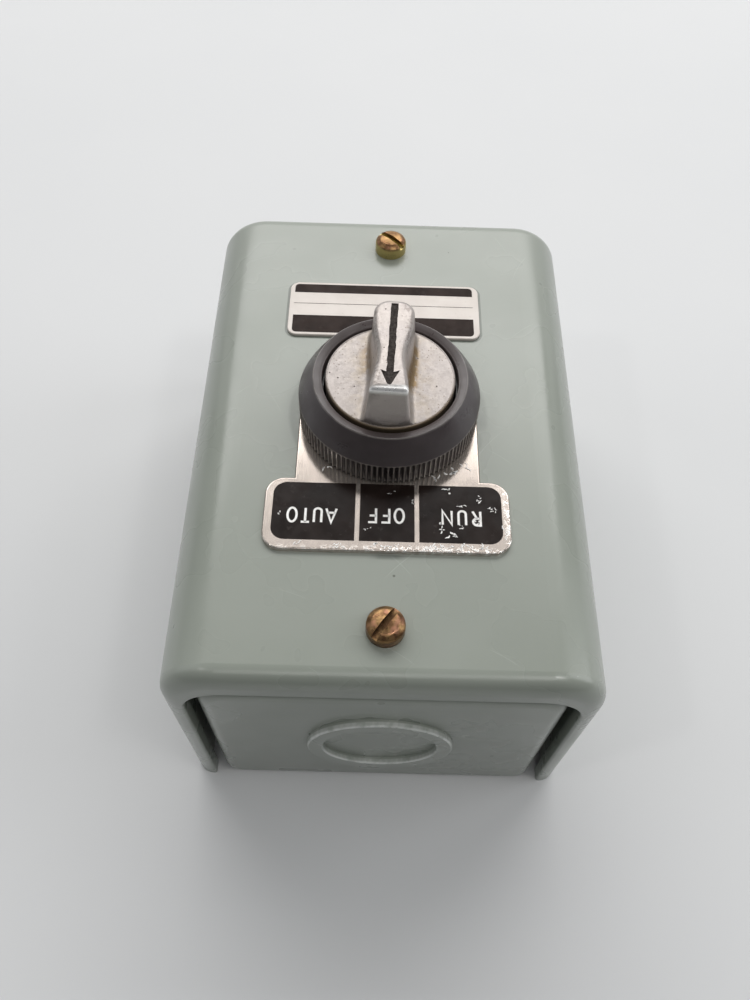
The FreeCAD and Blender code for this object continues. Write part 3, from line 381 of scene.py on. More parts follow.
def legend_metal():
    """Satin plate with fine drawn lines, bright and chipped where its near and right edges were rubbed, with
    painted shade on the tab round the ring.
    """
    look = Recipe("legend_metal")
    grain = look.noise(0.30, detail=4.0, stretch=(1, 0.08, 1))
    base = look.mix(look.ramp(grain, 0.3, 0.7), (0.575, 0.510, 0.458), (0.632, 0.562, 0.510))
    low, high = box_mm("legend_plate")
    # Painted shade: the tab round the ring is darkened where the ring's shadow and reflection fall.
    tab_shade = look.ramp(look.y, -18.1, -17.6)
    base = look.mix(look.times(tab_shade, 0.42), base, (0.345, 0.3, 0.265))
    chipped = look.ramp(look.noise(0.8, detail=5.0, roughness=0.7), 0.50, 0.56)
    near = look.ramp(look.y, low.y + 1.5, low.y + 0.3)
    right = look.ramp(look.x, high.x - 1.7, high.x - 0.3)
    middle = look.ramp(look.x, -14.0, 4.0, 0.35, 1.0)
    worn = look.most(look.times(near, middle), right)
    edge = look.times(worn, chipped)
    base = look.mix(edge, base, (0.95, 0.93, 0.90))
    lip = look.times(look.ramp(look.y, low.y + 0.5, low.y + 0.25), look.ramp(look.noise(1.6), 0.5, 0.6))
    base = look.mix(look.times(lip, 0.3), base, (0.11, 0.1, 0.085))
    rough = look.ramp(look.noise(2.6, detail=3.0), 0.3, 0.7, 0.13, 0.18)
    look.bump(grain, 0.002)
    look.bump(edge, 0.010)
    return look.finish(base, rough, metallic=0.80)


def black_print(name, roughness, specular, tone):
    """Screened black with dust, faint rubbing and its own slight texture. tone lightens the ink."""
    look = Recipe(name)
    inks = ((0.010, 0.0062, 0.0050), (0.018, 0.0118, 0.0100))
    dark, light = (tuple(tone * part for part in ink) for ink in inks)
    base = look.mix(look.ramp(look.noise(5.0), 0.3, 0.7), dark, light)
    rubbed = look.ramp(look.noise(1.6, detail=6.0, roughness=0.7), 0.58, 0.72)
    base = look.mix(look.times(rubbed, 0.35), base, (0.07, 0.058, 0.052))
    dust = look.spots(1.9, 0.08, keep=0.2)
    base = look.mix(look.times(dust, 0.45), base, (0.22, 0.19, 0.17))
    rough = look.ramp(look.noise(2.2, detail=4.0), 0.3, 0.7, roughness, roughness + 0.12)
    look.bump(look.noise(0.5, detail=3.0), 0.003)
    return look.finish(base, rough, Specular_IOR_Level=specular)


def white_paint():
    """Off-white letter filling, slightly uneven."""
    look = Recipe("white_paint")
    grain = look.ramp(look.noise(0.4, detail=4.0), 0.35, 0.65)
    base = look.mix(grain, (0.84, 0.82, 0.79), (0.97, 0.96, 0.94))
    look.bump(look.noise(0.3, detail=3.0), 0.02)
    return look.finish(base, look.ramp(look.noise(0.8), 0.3, 0.7, 0.42, 0.60))


def bare_scratch():
    """Bright metal and lifted lacquer in the scratches."""
    look = Recipe("bare_scratch")
    grain = look.ramp(look.noise(0.25, detail=4.0), 0.35, 0.65)
    base = look.mix(grain, (0.88, 0.86, 0.83), (1.0, 0.99, 0.97))
    look.bump(look.noise(0.15, detail=3.0), 0.02)
    return look.finish(base, look.ramp(look.noise(0.3), 0.3, 0.7, 0.35, 0.6))


def data_plate():
    """Cream printed plate, a little yellowed and speckled."""
    look = Recipe("data_plate")
    yellowed = look.ramp(look.noise(6.0, detail=4.0), 0.3, 0.7)
    base = look.mix(yellowed, (0.670, 0.610, 0.562), (0.730, 0.675, 0.627))
    rubbed = look.ramp(look.noise(0.8, detail=6.0, roughness=0.7), 0.58, 0.70)
    base = look.mix(look.times(rubbed, 0.25), base, (0.5, 0.45, 0.39))
    specks = look.spots(1.7, 0.08, keep=0.2)
    base = look.mix(look.times(specks, 0.5), base, (0.25, 0.22, 0.18))
    look.bump(look.noise(1.2, detail=3.0), 0.01)
    rough = look.ramp(look.noise(2.0, detail=4.0), 0.3, 0.7, 0.34, 0.48)
    return look.finish(base, rough, Specular_IOR_Level=0.35)


def pointer_paint():
    """Brown-black filling of the pointer, matt and lumpy."""
    look = Recipe("pointer_paint")
    lumps = look.ramp(look.noise(0.5, detail=5.0), 0.35, 0.65)
    base = look.mix(lumps, (0.020, 0.015, 0.013), (0.050, 0.041, 0.037))
    look.bump(look.noise(0.35, detail=4.0), 0.05)
    rough = look.ramp(look.noise(0.6), 0.3, 0.7, 0.55, 0.75)
    return look.finish(base, rough, Specular_IOR_Level=0.15)


def screw_plate():
    """Yellow plating gone brown in places, coppery on the worn parts."""
    look = Recipe("screw_plate")
    tarnish = look.ramp(look.noise(1.5, detail=5.0, roughness=0.6), 0.36, 0.64)
    base = look.mix(tarnish, (0.34, 0.205, 0.092), (0.170, 0.088, 0.043))
    copper = look.ramp(look.noise(2.4, detail=3.0), 0.52, 0.66)
    base = look.mix(look.times(copper, 0.6), base, (0.46, 0.225, 0.15))
    spots = look.spots(0.8, 0.17, keep=0.3)
    base = look.mix(look.times(spots, 0.6), base, (0.1, 0.055, 0.025))
    # Painted shade: the slot and corners are darkened where they are occluded.
    crevice_shade = look.times(look.crevice(1.5), 0.75)
    base = look.mix(crevice_shade, base, (0.045, 0.028, 0.015))
    side = look.times(look.ramp(look.z, FACE + 2.7, FACE + 2.2), look.ramp(look.y, 0.0, 1.0))
    base = look.mix(look.times(side, 0.8), base, (0.6, 0.5, 0.2))
    rough = look.ramp(look.noise(0.7, detail=5.0), 0.3, 0.7, 0.26, 0.50)
    look.bump(look.noise(0.5, detail=4.0), 0.035)
    look.bump(look.noise(1.8, detail=2.0), 0.06)
    return look.finish(base, rough, metallic=0.92)


def worn_metal(name, light, dark, rough=(0.25, 0.45), grain=0.5, relief=0.01, metallic=1.0, **others):
    """Plated or cast metal: two tones, fine grain, spots and painted shade in the corners."""
    look = Recipe(name)
    base = look.mix(look.ramp(look.noise(grain * 6, detail=5.0), 0.3, 0.7), dark, light)
    spots = look.spots(grain * 4, grain * 0.35, keep=0.2)
    base = look.mix(look.times(spots, 0.5), base, tuple(0.3 * part for part in dark))
    # Painted shade: corners and the undersides of overhangs are darkened.
    crevice_shade = look.times(look.crevice(2.5), 0.55)
    base = look.mix(crevice_shade, base, tuple(0.2 * part for part in dark))
    look.bump(look.noise(grain, detail=4.0), relief)
    gloss = look.ramp(look.noise(grain * 2, detail=4.0), 0.3, 0.7, *rough)
    return look.finish(base, gloss, metallic, **others)


def moulded(name, light, dark, rough=(0.35, 0.5), flow=(1, 1, 1), **others):
    """Moulded plastic or rubber with flow marks and dust."""
    look = Recipe(name)
    marks = look.ramp(look.noise(4.0, detail=5.0, stretch=flow, distortion=0.6), 0.3, 0.7)
    base = look.mix(marks, dark, light)
    dust = look.spots(1.8, 0.12, keep=0.25)
    base = look.mix(look.times(dust, 0.3), base, (0.45, 0.42, 0.38))
    look.bump(look.noise(0.6, detail=4.0), 0.012)
    return look.finish(base, look.ramp(look.noise(2.5, detail=4.0), 0.3, 0.7, *rough), **others)


def contact_metal():
    """Copper alloy strip; the rivets at its ends are silver."""
    look = Recipe("contact_metal")
    tarnish = look.ramp(look.noise(3.0, detail=5.0), 0.35, 0.65)
    base = look.mix(tarnish, (0.70, 0.36, 0.19), (0.50, 0.23, 0.11))
    silver = None
    for circuit in (-9.0, 9.0):
        for end in (-7.0, 7.0):
            mask = look.ramp(look.distance(circuit, end), 1.95, 1.85)
            silver = mask if silver is None else look.most(silver, mask)
    base = look.mix(silver, base, (0.72, 0.71, 0.69))
    look.bump(look.noise(0.4, detail=4.0), 0.01)
    return look.finish(base, look.ramp(look.noise(1.4, detail=4.0), 0.3, 0.7, 0.24, 0.42), metallic=1.0)


KNOB_PLAY = math.radians(-2.7)

looks = {
    "enamel": enamel(),
    "black_phenolic": black_phenolic(),
    "knob_metal": knob_metal(-KNOB_PLAY),
    "legend_metal": legend_metal(),
    "data_plate": data_plate(),
    "screw_plate": screw_plate(),
    "contact_metal": contact_metal(),
    "green_screw": worn_metal("green_screw", (0.06, 0.30, 0.10), (0.035, 0.20, 0.07), metallic=0.3,
                              Coat_Weight=0.4),
    "casting": worn_metal("casting", (0.46, 0.46, 0.45), (0.34, 0.34, 0.335), (0.42, 0.6), 0.6, 0.05),
    "steel": worn_metal("steel", (0.60, 0.59, 0.57), (0.44, 0.43, 0.41)),
    "spring_steel": worn_metal("spring_steel", (0.56, 0.56, 0.57), (0.40, 0.40, 0.41), (0.18, 0.34)),
    "brass_hardware": worn_metal("brass_hardware", (0.72, 0.54, 0.24), (0.50, 0.34, 0.13)),
    "nylon": moulded("nylon", (0.72, 0.69, 0.60), (0.62, 0.585, 0.50), Subsurface_Weight=0.15,
                     Subsurface_Scale=0.5 * MM),
    "brown_phenolic": moulded("brown_phenolic", (0.085, 0.042, 0.027), (0.045, 0.022, 0.015),
                              (0.28, 0.42), (0.4, 1, 0.5)),
    "gasket_rubber": moulded("gasket_rubber", (0.030, 0.030, 0.030), (0.016, 0.016, 0.016), (0.62, 0.8)),
}
for row in frame["record"]["subparts"]:
    node = nodes[row["node"]]
    node.data.materials.clear()
    node.data.materials.append(looks[row["material_slot"]])


# Mesh pieces


def set_shading(mesh, crease):
    """Points every face outwards, smooth except where the mesh folds by more than crease degrees."""
    work = bmesh.new()
    work.from_mesh(mesh)
    bmesh.ops.recalc_face_normals(work, faces=work.faces)
    work.to_mesh(mesh)
    work.free()
    mesh.shade_smooth()
    mesh.set_sharp_from_angle(angle=math.radians(crease))


def add_piece(name, points, faces, look, body, crease=35.0):
    """Makes a mesh piece from millimetre points. A piece that gets None for its body is left unattached."""
    mesh = bpy.data.meshes.new(name)
    mesh.from_pydata([Vector(point) * MM for point in points], [], faces)
    mesh.validate()
    mesh.materials.append(look)
    set_shading(mesh, crease)
    piece = bpy.data.objects.new(name, mesh)
    bpy.context.scene.collection.objects.link(piece)
    if body is not None:
        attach(piece, body)
    return piece


def skin(rings, closed=False):
    """Faces between rings of equal point counts. An open stack gets a flat cap at each end."""
    count = len(rings[0])
    points = [point for ring in rings for point in ring]
    faces = []
    last = len(rings) if closed else len(rings) - 1
    for level in range(last):
        low = level * count
        high = (level + 1) % len(rings) * count
        for step in range(count):
            following = (step + 1) % count
            faces.append((low + step, low + following, high + following, high + step))
    if not closed:
        faces.append(tuple(reversed(range(count))))
        faces.append(tuple(range(len(points) - count, len(points))))
    return points, faces


def arc(x, y, radius, start, end, steps):
    """Points on an arc about (x, y), with angles in degrees."""
    spread = [math.radians(start + (end - start) * step / steps) for step in range(steps + 1)]
    return [(x + radius * math.cos(angle), y + radius * math.sin(angle)) for angle in spread]


def subtract(piece, cutter, crease):
    """Cuts one piece's solid out of another's and throws the cutter away."""
    modifier = piece.modifiers.new("cut", "BOOLEAN")
    modifier.operation = "DIFFERENCE"
    modifier.solver = "EXACT"
    modifier.object = cutter
    bpy.context.view_layer.update()
    result = bpy.data.meshes.new_from_object(piece.evaluated_get(bpy.context.evaluated_depsgraph_get()))
    piece.modifiers.clear()
    piece.data = result
    set_shading(result, crease)
    bpy.data.objects.remove(cutter)


def prism(outline, low, high):
    """Points and faces of an upright prism over a flat outline."""
    turned = zip(outline, outline[1:] + outline[:1])
    if sum(ax * by - bx * ay for (ax, ay), (bx, by) in turned) < 0.0:
        outline = outline[::-1]
    return skin([[(x, y, level) for x, y in outline] for level in (low, high)])


def merge(parts):
    """Joins several (points, faces) lists into one."""
    points, faces = [], []
    for some_points, some_faces in parts:
        start = len(points)
        points.extend(some_points)
        faces.extend(tuple(start + number for number in face) for face in some_faces)
    return points, faces


# Ring nut


def make_ring():
    """Revolved profile whose skirt has round-ended flutes."""
    low, high = box_mm("ring_nut")
    rib = high.x
    flutes = 108
    samples = 12
    flute_reach = 0.385
    flute_depth = 0.42
    flute_end = FACE + 6.12
    shoulder = FACE + 6.5
    ridge = 14.7
    crest = FACE + 11.5
    thread = 15.0
    bore_side = ridge + 1.5
    cone = math.atan2(crest - shoulder, rib - ridge)
    edge = 0.40
    foot = 0.3
    profile = [(thread, low.z), (rib - 0.5, low.z), (rib - 0.1, low.z + 0.1), (rib, low.z + foot)]
    steps = 5
    profile += [(rib, low.z + foot + (flute_end - 0.5 - low.z) * step / steps) for step in range(1, steps)]
    profile += [(rib, flute_end - 0.4 + 0.075 * step) for step in range(10)]
    bend = arc(rib - edge, profile[-1][1] + 0.02, edge, 0.0, 90.0 - math.degrees(cone), 5)
    profile += bend[1:]
    start = profile[-1]
    bow = 0.14
    cone_steps = 15
    for step in range(1, cone_steps):
        share = step / cone_steps
        swell = bow * math.sin(math.pi * share)
        profile.append((start[0] + (ridge - start[0]) * share + swell * math.sin(cone),
                        start[1] + (crest - 0.12 - start[1]) * share + swell * math.cos(cone)))
    profile += arc(ridge - 0.16, crest - 0.2, 0.2, 38.0, 104.0, 6)
    dish = [(14.2, crest - 0.10), (13.75, crest - 0.24), (13.35, crest - 0.40)]
    lip = 13.0
    lip_round = 0.22
    lip_foot = FACE + 8.5
    profile += dish + arc(lip + lip_round, crest - 0.72, lip_round, 90.0, 180.0, 4)
    profile += [(lip, lip_foot), (thread, lip_foot)]
    rings = []
    count = flutes * samples
    pitch = TURN * rib / flutes
    for radius, height in profile:
        ring = []
        beyond = max(0.0, height - flute_end)
        for step in range(count):
            across = (step % samples / samples - 0.5) * pitch
            inside = 1.0 - (across / flute_reach) ** 2 - (beyond / flute_reach) ** 2
            cut = flute_depth * math.sqrt(inside) if inside > 0.0 and radius > bore_side else 0.0
            reach = radius - cut
            angle = TURN * step / count
            ring.append((reach * math.cos(angle), reach * math.sin(angle), height))
        rings.append(ring)
    points, faces = skin(rings, closed=True)
    ring = add_piece("ring_moulding", points, faces, looks["black_phenolic"], "cover", 50.0)
    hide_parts("ring_nut")


# Knob


LEVER_TOP_HALF_WIDTH = 3.5
LEVER_FOOT_HALF_WIDTH = 4.3
LEVER_TOP_REACH = 11.0
LEVER_FOOT_REACH = 11.9
FAR_SWELL = 0.25
FAR_SHORTFALL = 0.75
WAIST = 1.12
WAIST_PLACE = -2.7
WAIST_SPREAD = 5.0


def lever_gap(x, y, share):
    """Signed distance from the lever's outline at a share of its height: 0 at its foot, 1 at its top."""
    far = y > 0.0
    width = LEVER_FOOT_HALF_WIDTH + (LEVER_TOP_HALF_WIDTH - LEVER_FOOT_HALF_WIDTH) * share
    width += FAR_SWELL * share / (1.0 + math.exp(-y))
    waist = math.exp(-((y - WAIST_PLACE) / WAIST_SPREAD) ** 2)
    width -= WAIST * waist * (0.35 + 0.65 * min(1.0, 2.2 * share))
    reach = LEVER_FOOT_REACH + (LEVER_TOP_REACH - LEVER_FOOT_REACH) * share
    if far:
        reach -= FAR_SHORTFALL * share
    corner = 2.9 if far else 0.75
    side = abs(x) - (width - corner)
    end = abs(y) - (reach - corner)
    outside = math.hypot(max(side, 0.0), max(end, 0.0))
    return outside + min(max(side, end), 0.0) - corner


def lever_reach(angle, share, offset, limit):
    """How far the lever's outline, grown by offset, reaches from the axis in one direction."""
    low, high = 0.5, limit
    cosine, sine = math.cos(angle), math.sin(angle)
    if lever_gap(high * cosine, high * sine, share) < offset:
        return high
    for _ in range(26):
        middle = 0.5 * (low + high)
        if lever_gap(middle * cosine, middle * sine, share) < offset:
            low = middle
        else:
            high = middle
    return 0.5 * (low + high)


def pointer_outline():
    """Arrow with ragged sides, hooked barbs and a blunt tip, pointing towards -Y."""
    chance = random.Random(11)
    shaft = 0.67
    ragged = 0.07
    far = 9.2
    neck = -7.2
    steps = 26
    tip = -10.05
    barb = [(0.98, -7.10), (1.76, -6.75), (1.32, -7.75), (0.88, -8.75), (0.47, -9.75)]
    head = barb + [(0.36, tip + 0.10), (0.12, tip)]
    sides = []
    for _ in range(2):
        places = [far + (neck - far) * step / steps for step in range(steps + 1)]
        sides.append([(shaft + chance.uniform(-ragged, ragged), y) for y in places] + head)
    right, left = sides
    return right + [(-x, y) for x, y in reversed(left)]


def make_knob():
    """Disc and lever as one casting, lofted as rings seen from the knob's axis."""
    low, high = box_mm("knob")
    rim = high.x
    top = high.z
    deck = FACE + 11.3
    edge = 0.45
    flat = rim - edge
    count = 360
    angles = [TURN * step / count for step in range(count)]
    tall = top - deck

    def circle(radius, height):
        return [(radius * math.cos(angle), radius * math.sin(angle), height) for angle in angles]

    def outline(share, offset, height, limit=rim):
        reach = [lever_reach(angle, share, offset, limit) for angle in angles]
        return [(r * math.cos(a), r * math.sin(a), height) for r, a in zip(reach, angles)]

    socket, socket_top = 4.05, FACE + 9.8
    hub, skirt, hollow_top = 8.0, 10.9, FACE + 8.3
    foot_edge = 0.2
    underside = [(socket, socket_top), (socket, low.z), (hub, low.z), (hub, hollow_top), (skirt, hollow_top),
                 (skirt, low.z), (rim - foot_edge, low.z), (rim, low.z + foot_edge), (rim, FACE + 6.0),
                 (rim, deck - edge - foot_edge)]
    rings = [circle(radius, height) for radius, height in underside]
    for radius, height in arc(flat, deck - edge, edge, 0.0, 84.0, 8):
        rings.append(circle(radius, height))
    blend = 1.25
    inset = 0.04
    spread = [lever_reach(angle, 0.0, blend, flat - inset) for angle in angles]
    for share in (0.0, 0.25, 0.5, 0.75, 1.0):
        rings.append([((flat + (s - flat) * share) * math.cos(a), (flat + (s - flat) * share) * math.sin(a),
                       deck - 0.06 * (1.0 - share) ** 2) for s, a in zip(spread, angles)])
    for step in range(1, 7):
        lean = math.radians(90.0 * step / 6)
        offset = blend * (1.0 - math.sin(lean))
        height = deck + blend * (1.0 - math.cos(lean))
        rings.append(outline((height - deck) / tall, offset, height, limit=flat - inset + 0.02 * step))
    brow = 1.1
    for share in (0.22, 0.34, 0.46, 0.58, 0.70, 0.80, 0.87):
        rings.append(outline(share, 0.0, deck + share * tall))
    for step in range(0, 8):
        lean = math.radians(90.0 * step / 7)
        offset = -brow * (1.0 - math.cos(lean))
        height = top - brow + brow * math.sin(lean)
        rings.append(outline((height - deck) / tall, offset, height))
    turned = []
    cosine, sine = math.cos(KNOB_PLAY), math.sin(KNOB_PLAY)
    for ring in rings:
        turned.append([(x * cosine - y * sine, x * sine + y * cosine, z) for x, y, z in ring])
    points, faces = skin(turned)
    knob = add_piece("knob_casting", points, faces, looks["knob_metal"], "selector", 40.0)
    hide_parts("knob")
    arrow = [(x * cosine - y * sine, x * sine + y * cosine) for x, y in pointer_outline()]
    groove = 0.45
    fill_drop = 0.16
    points, faces = prism(arrow, top - groove, top + 1.0)
    cutter = add_piece("pointer_cutter", points, faces, looks["knob_metal"], "selector")
    subtract(knob, cutter, 40.0)
    points, faces = prism(arrow, top - groove - 0.05, top - fill_drop)
    add_piece("pointer_fill", points, faces, pointer_paint(), "selector")


make_ring()
make_knob()


# Return springs


def make_return_spring(side):
    """Coil with closed ends. Its foot stands on the block's plate."""
    node = "return_spring_" + side
    low, high = box_mm(node)
    stem = box_mm("plunger_" + side)
    x, y = (stem[0].x + stem[1].x) / 2, (stem[0].y + stem[1].y) / 2
    wire = 0.35
    pitch = 1.7
    closed = 2.1 * wire
    steps, sides = 32, 10
    height = high.z - low.z - 2.0 * wire
    coil = (high.x - low.x) / 2 - wire
    turns = 2.0 + (height - 2.0 * closed) / pitch
    slope = math.atan2(pitch, TURN * coil)
    rings = []
    for step in range(int(turns * steps) + 1):
        turn = step / steps
        angle = TURN * turn
        rise = closed * min(turn, 1.0)
        rise += pitch * min(max(turn - 1.0, 0.0), turns - 2.0)
        rise += closed * max(turn - (turns - 1.0), 0.0)
        ring = []
        for number in range(sides):
            around = TURN * number / sides
            out = coil + wire * math.cos(around)
            back = -wire * math.sin(around) * math.sin(slope)
            ring.append((x + out * math.cos(angle) - back * math.sin(angle),
                         y + out * math.sin(angle) + back * math.cos(angle),
                         low.z + wire + rise + wire * math.sin(around) * math.cos(slope)))
        rings.append(ring)
    points, faces = skin(rings)
    steel = looks["spring_steel"]
    spring = add_piece("spring_coil_" + side, points, faces, steel, None, 60.0)
    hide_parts(node)
    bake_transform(spring)


make_return_spring("left")
make_return_spring("right")


# Print on the plates


PRINT = 0.03


def rounded(left, right, low, high, corners, steps=8):
    """Rectangle outline. corners gives the radius at low-left, low-right, high-right and high-left."""
    turns = ((left, low, 180.0, 1, 1), (right, low, 270.0, -1, 1),
             (right, high, 0.0, -1, -1), (left, high, 90.0, 1, -1))
    outline = []
    for (x, y, start, across, along), radius in zip(turns, corners):
        if radius == 0.0:
            outline.append((x, y))
        else:
            outline += arc(x + across * radius, y + along * radius, radius, start, start + 90.0, steps)
    return outline


def make_legend_print():
    """Three black fields with bare dividers between them."""
    top = box_mm("legend_plate")[1].z
    side = 21.3
    near = -30.1
    far = -17.8
    corner = 2.5
    divider = 5.5
    gap = 0.85
    spans = {"auto": (-side, -divider - gap / 2, (corner, 0.0, 0.0, corner)),
             "off": (-divider + gap / 2, divider - gap / 2, (0.0, 0.0, 0.0, 0.0)),
             "run": (divider + gap / 2, side, (0.0, corner, corner, 0.0))}
    black = black_print("legend_black", 0.13, 0.18, 1.0)
    for name, (left, right, corners) in spans.items():
        points, faces = prism(rounded(left, right, near, far, corners), top - PRINT, top + PRINT)
        add_piece("legend_field_" + name, points, faces, black, "cover")


LETTERS = {
    "A": (0.56, [[(0.0, 0.0), (0.28, 1.0), (0.56, 0.0)], [(0.09, 0.30), (0.47, 0.30)]]),
    "F": (0.42, [[(0.0, 0.0), (0.0, 1.0), (0.42, 1.0)], [(0.0, 0.52), (0.34, 0.52)]]),
    "N": (0.50, [[(0.0, 0.0), (0.0, 1.0), (0.50, 0.0), (0.50, 1.0)]]),
    "T": (0.45, [[(0.0, 1.0), (0.45, 1.0)], [(0.225, 1.0), (0.225, 0.0)]]),
}


def letter_strokes(letter):
    """Width and centre lines of a plain capital, one unit high."""
    if letter in LETTERS:
        return LETTERS[letter]
    if letter == "O":
        width = 0.49
        ring = [(0.5 * width * (1.0 + x), 0.5 * (1.0 + y)) for x, y in arc(0.0, 0.0, 1.0, 0.0, 360.0, 32)]
        return width, [ring[:-1] + ring[:1]]
    if letter == "U":
        width = 0.40
        half = 0.5 * width
        bowl = [(half * (1.0 + x), half * 1.1 * (1.0 + y)) for x, y in arc(0.0, 0.0, 1.0, 180.0, 360.0, 14)]
        return width, [[(0.0, 1.0)] + bowl + [(width, 1.0)]]
    width = 0.42
    bowl = [(0.19 + 0.21 * x, 0.755 + 0.245 * y) for x, y in arc(0.0, 0.0, 1.0, 90.0, -90.0, 12)]
    return width, [[(0.0, 0.0), (0.0, 1.0)] + bowl + [(0.0, 0.51)], [(0.19, 0.51), (width, 0.0)]]


def ribbon(line, width, low, high, sway=None):
    """Flat stroke of the given width along a line of points, with mitred joints."""
    left, right = [], []
    ring = line[0] == line[-1]
    last = len(line) - 1
    for number, (x, y) in enumerate(line):
        before = line[number - 1] if number else (line[last - 1] if ring else None)
        after = line[number + 1] if number < last else (line[1] if ring else None)
        sides = []
        for start, end in ((before, (x, y)), ((x, y), after)):
            if start is not None and end is not None:
                dx, dy = end[0] - start[0], end[1] - start[1]
                size = math.hypot(dx, dy)
                sides.append((-dy / size, dx / size))
        nx = sum(side[0] for side in sides)
        ny = sum(side[1] for side in sides)
        size = math.hypot(nx, ny)
        nx, ny = nx / size, ny / size
        mitre = min(2.2, 1.0 / max(0.3, nx * sides[0][0] + ny * sides[0][1]))
        reach = 0.5 * width * mitre * (sway[number] if sway else 1.0)
        left.append((x + nx * reach, y + ny * reach))
        right.append((x - nx * reach, y - ny * reach))
    points, faces = [], []
    for (ax, ay), (bx, by) in zip(left, right):
        points += [(ax, ay, low), (bx, by, low), (bx, by, high), (ax, ay, high)]
    for step in range(last):
        start, end = 4 * step, 4 * (step + 1)
        for side in range(4):
            following = (side + 1) % 4
            faces.append((start + side, end + side, end + following, start + following))
    if not ring:
        faces.append((0, 1, 2, 3))
        faces.append(tuple(4 * last + side for side in (3, 2, 1, 0)))
    return points, faces


def make_word(word, x, y, width, height=3.4, stroke=0.44):
    """A word that reads upright from +Y, centred at (x, y) and fitted to a width."""
    top = box_mm("legend_plate")[1].z
    shapes = [letter_strokes(letter) for letter in word]
    inked = sum(shape[0] for shape in shapes) * height
    gap = (width - stroke - inked) / (len(word) - 1)
    parts = []
    cursor = -(width - stroke) / 2
    inner = height - stroke
    for advance, lines in shapes:
        for line in lines:
            placed = [(x - (cursor + u * height), y - (v - 0.5) * inner) for u, v in line]
            parts.append(ribbon(placed, stroke, top, top + 2.2 * PRINT))
        cursor += advance * height + gap
    points, faces = merge(parts)
    add_piece("letters_" + word.lower(), points, faces, white, "cover")


white = white_paint()
make_legend_print()
make_word("AUTO", -13.85, -24.95, 9.45)
make_word("OFF", -0.2, -24.65, 7.0)
make_word("RUN", 13.75, -24.75, 7.45)


def make_nameplate_print():
    """Plain dark bands and a thin rule. The wording of the plate is left out."""
    low, high = box_mm("nameplate")
    dark = black_print("plate_black", 0.55, 0.14, 2.0)
    left, right = low.x + 1.0, high.x - 1.3
    corner = 0.9
    bands = [rounded(left, right, 31.9, 34.35, (0, 0, corner, corner), 5),
             rounded(left, right, 20.35, 25.2, (corner, corner, 0, 0), 5),
             rounded(left, right, 28.62, 28.72, (0, 0, 0, 0))]
    points, faces = merge([prism(band, high.z - PRINT, high.z + PRINT) for band in bands])
    add_piece("nameplate_bands", points, faces, dark, "cover")


make_nameplate_print()


# Wear


def make_scratches():
    """Short crooked marks in clusters, where the legend has been struck and rubbed."""
    top = box_mm("legend_plate")[1].z
    chance = random.Random(7)
    # Each cluster: middle, half extents, number of marks, their length and width.
    clusters = [
        ((9.4, -15.9), (0.8, 0.3), 4, 0.9, 0.33), ((12.3, -14.6), (1.0, 0.9), 8, 1.0, 0.36),
        ((14.6, -13.5), (0.7, 0.3), 4, 0.9, 0.21), ((-11.8, -14.2), (0.6, 0.2), 3, 0.9, 0.3),
        ((11.4, -19.1), (0.4, 0.6), 3, 0.9, 0.36), ((17.0, -20.6), (0.4, 0.9), 7, 0.5, 0.21),
        ((19.6, -22.9), (0.8, 0.3), 6, 0.6, 0.135), ((10.1, -26.9), (0.4, 0.7), 7, 0.5, 0.21),
        ((12.0, -28.3), (0.5, 0.7), 6, 0.9, 0.3), ((13.9, -22.2), (0.5, 0.3), 5, 0.5, 0.15),
        ((13.6, -26.7), (0.5, 0.3), 5, 0.5, 0.18), ((16.7, -26.0), (0.5, 0.8), 6, 0.6, 0.21),
        ((-3.6, -27.6), (0.5, 0.2), 4, 0.4, 0.12), ((4.5, -21.4), (0.5, 0.3), 4, 0.5, 0.09),
        ((-19.8, -24.7), (0.2, 0.4), 3, 0.5, 0.15), ((1.0, -19.5), (0.6, 0.3), 3, 0.5, 0.075),
        ((-9.0, -31.3), (0.9, 0.2), 6, 0.7, 0.21), ((-16.6, -31.0), (0.4, 0.3), 3, 0.9, 0.135),
        ((0.5, -31.1), (3.6, 0.25), 14, 0.8, 0.225), ((9.5, -31.1), (3.0, 0.35), 18, 0.8, 0.255),
        ((16.0, -31.0), (3.0, 0.35), 16, 0.8, 0.255), ((21.6, -27.6), (0.3, 2.0), 8, 0.6, 0.18),
    ]
    parts = []
    for (x, y), (across, along), count, length, width in clusters:
        for _ in range(count):
            angle = chance.uniform(0.0, TURN)
            point = (x + chance.uniform(-across, across), y + chance.uniform(-along, along))
            line = [point]
            for _ in range(chance.choice((2, 3, 4))):
                angle += chance.uniform(-0.9, 0.9)
                step = length * chance.uniform(0.15, 0.45)
                point = (point[0] + step * math.cos(angle), point[1] + step * math.sin(angle))
                line.append(point)
            line = [(min(max(px, -22.3), 22.3), max(py, -31.65)) for px, py in line]
            if any(math.dist(a, b) < 0.02 for a, b in zip(line, line[1:])):
                continue
            sway = [chance.uniform(0.35, 1.25) for _ in line]
            sway[0] = 0.25
            sway[-1] = 0.25
            parts.append(ribbon(line, width, top - PRINT, top + 2.8 * PRINT, sway))
    points, faces = merge(parts)
    add_piece("legend_scratches", points, faces, bare_scratch(), "cover")


make_scratches()


# Stage


def make_stage():
    mesh = bpy.data.meshes.new("floor")
    reach = 1.6
    mesh.from_pydata([(-reach, -reach, 0), (reach, -reach, 0), (reach, reach, 0), (-reach, reach, 0)], [],
                     [(0, 1, 2, 3)])
    floor = bpy.data.objects.new("floor", mesh)
    bpy.context.scene.collection.objects.link(floor)
    floor.location.z = -0.02 * MM
    look = Recipe("floor")
    base = look.mix(look.noise(120.0, detail=3.0), (0.63, 0.64, 0.65), (0.68, 0.685, 0.69))
    look.bump(look.noise(6.0), 0.02)
    mesh.materials.append(look.finish(base, 0.55))


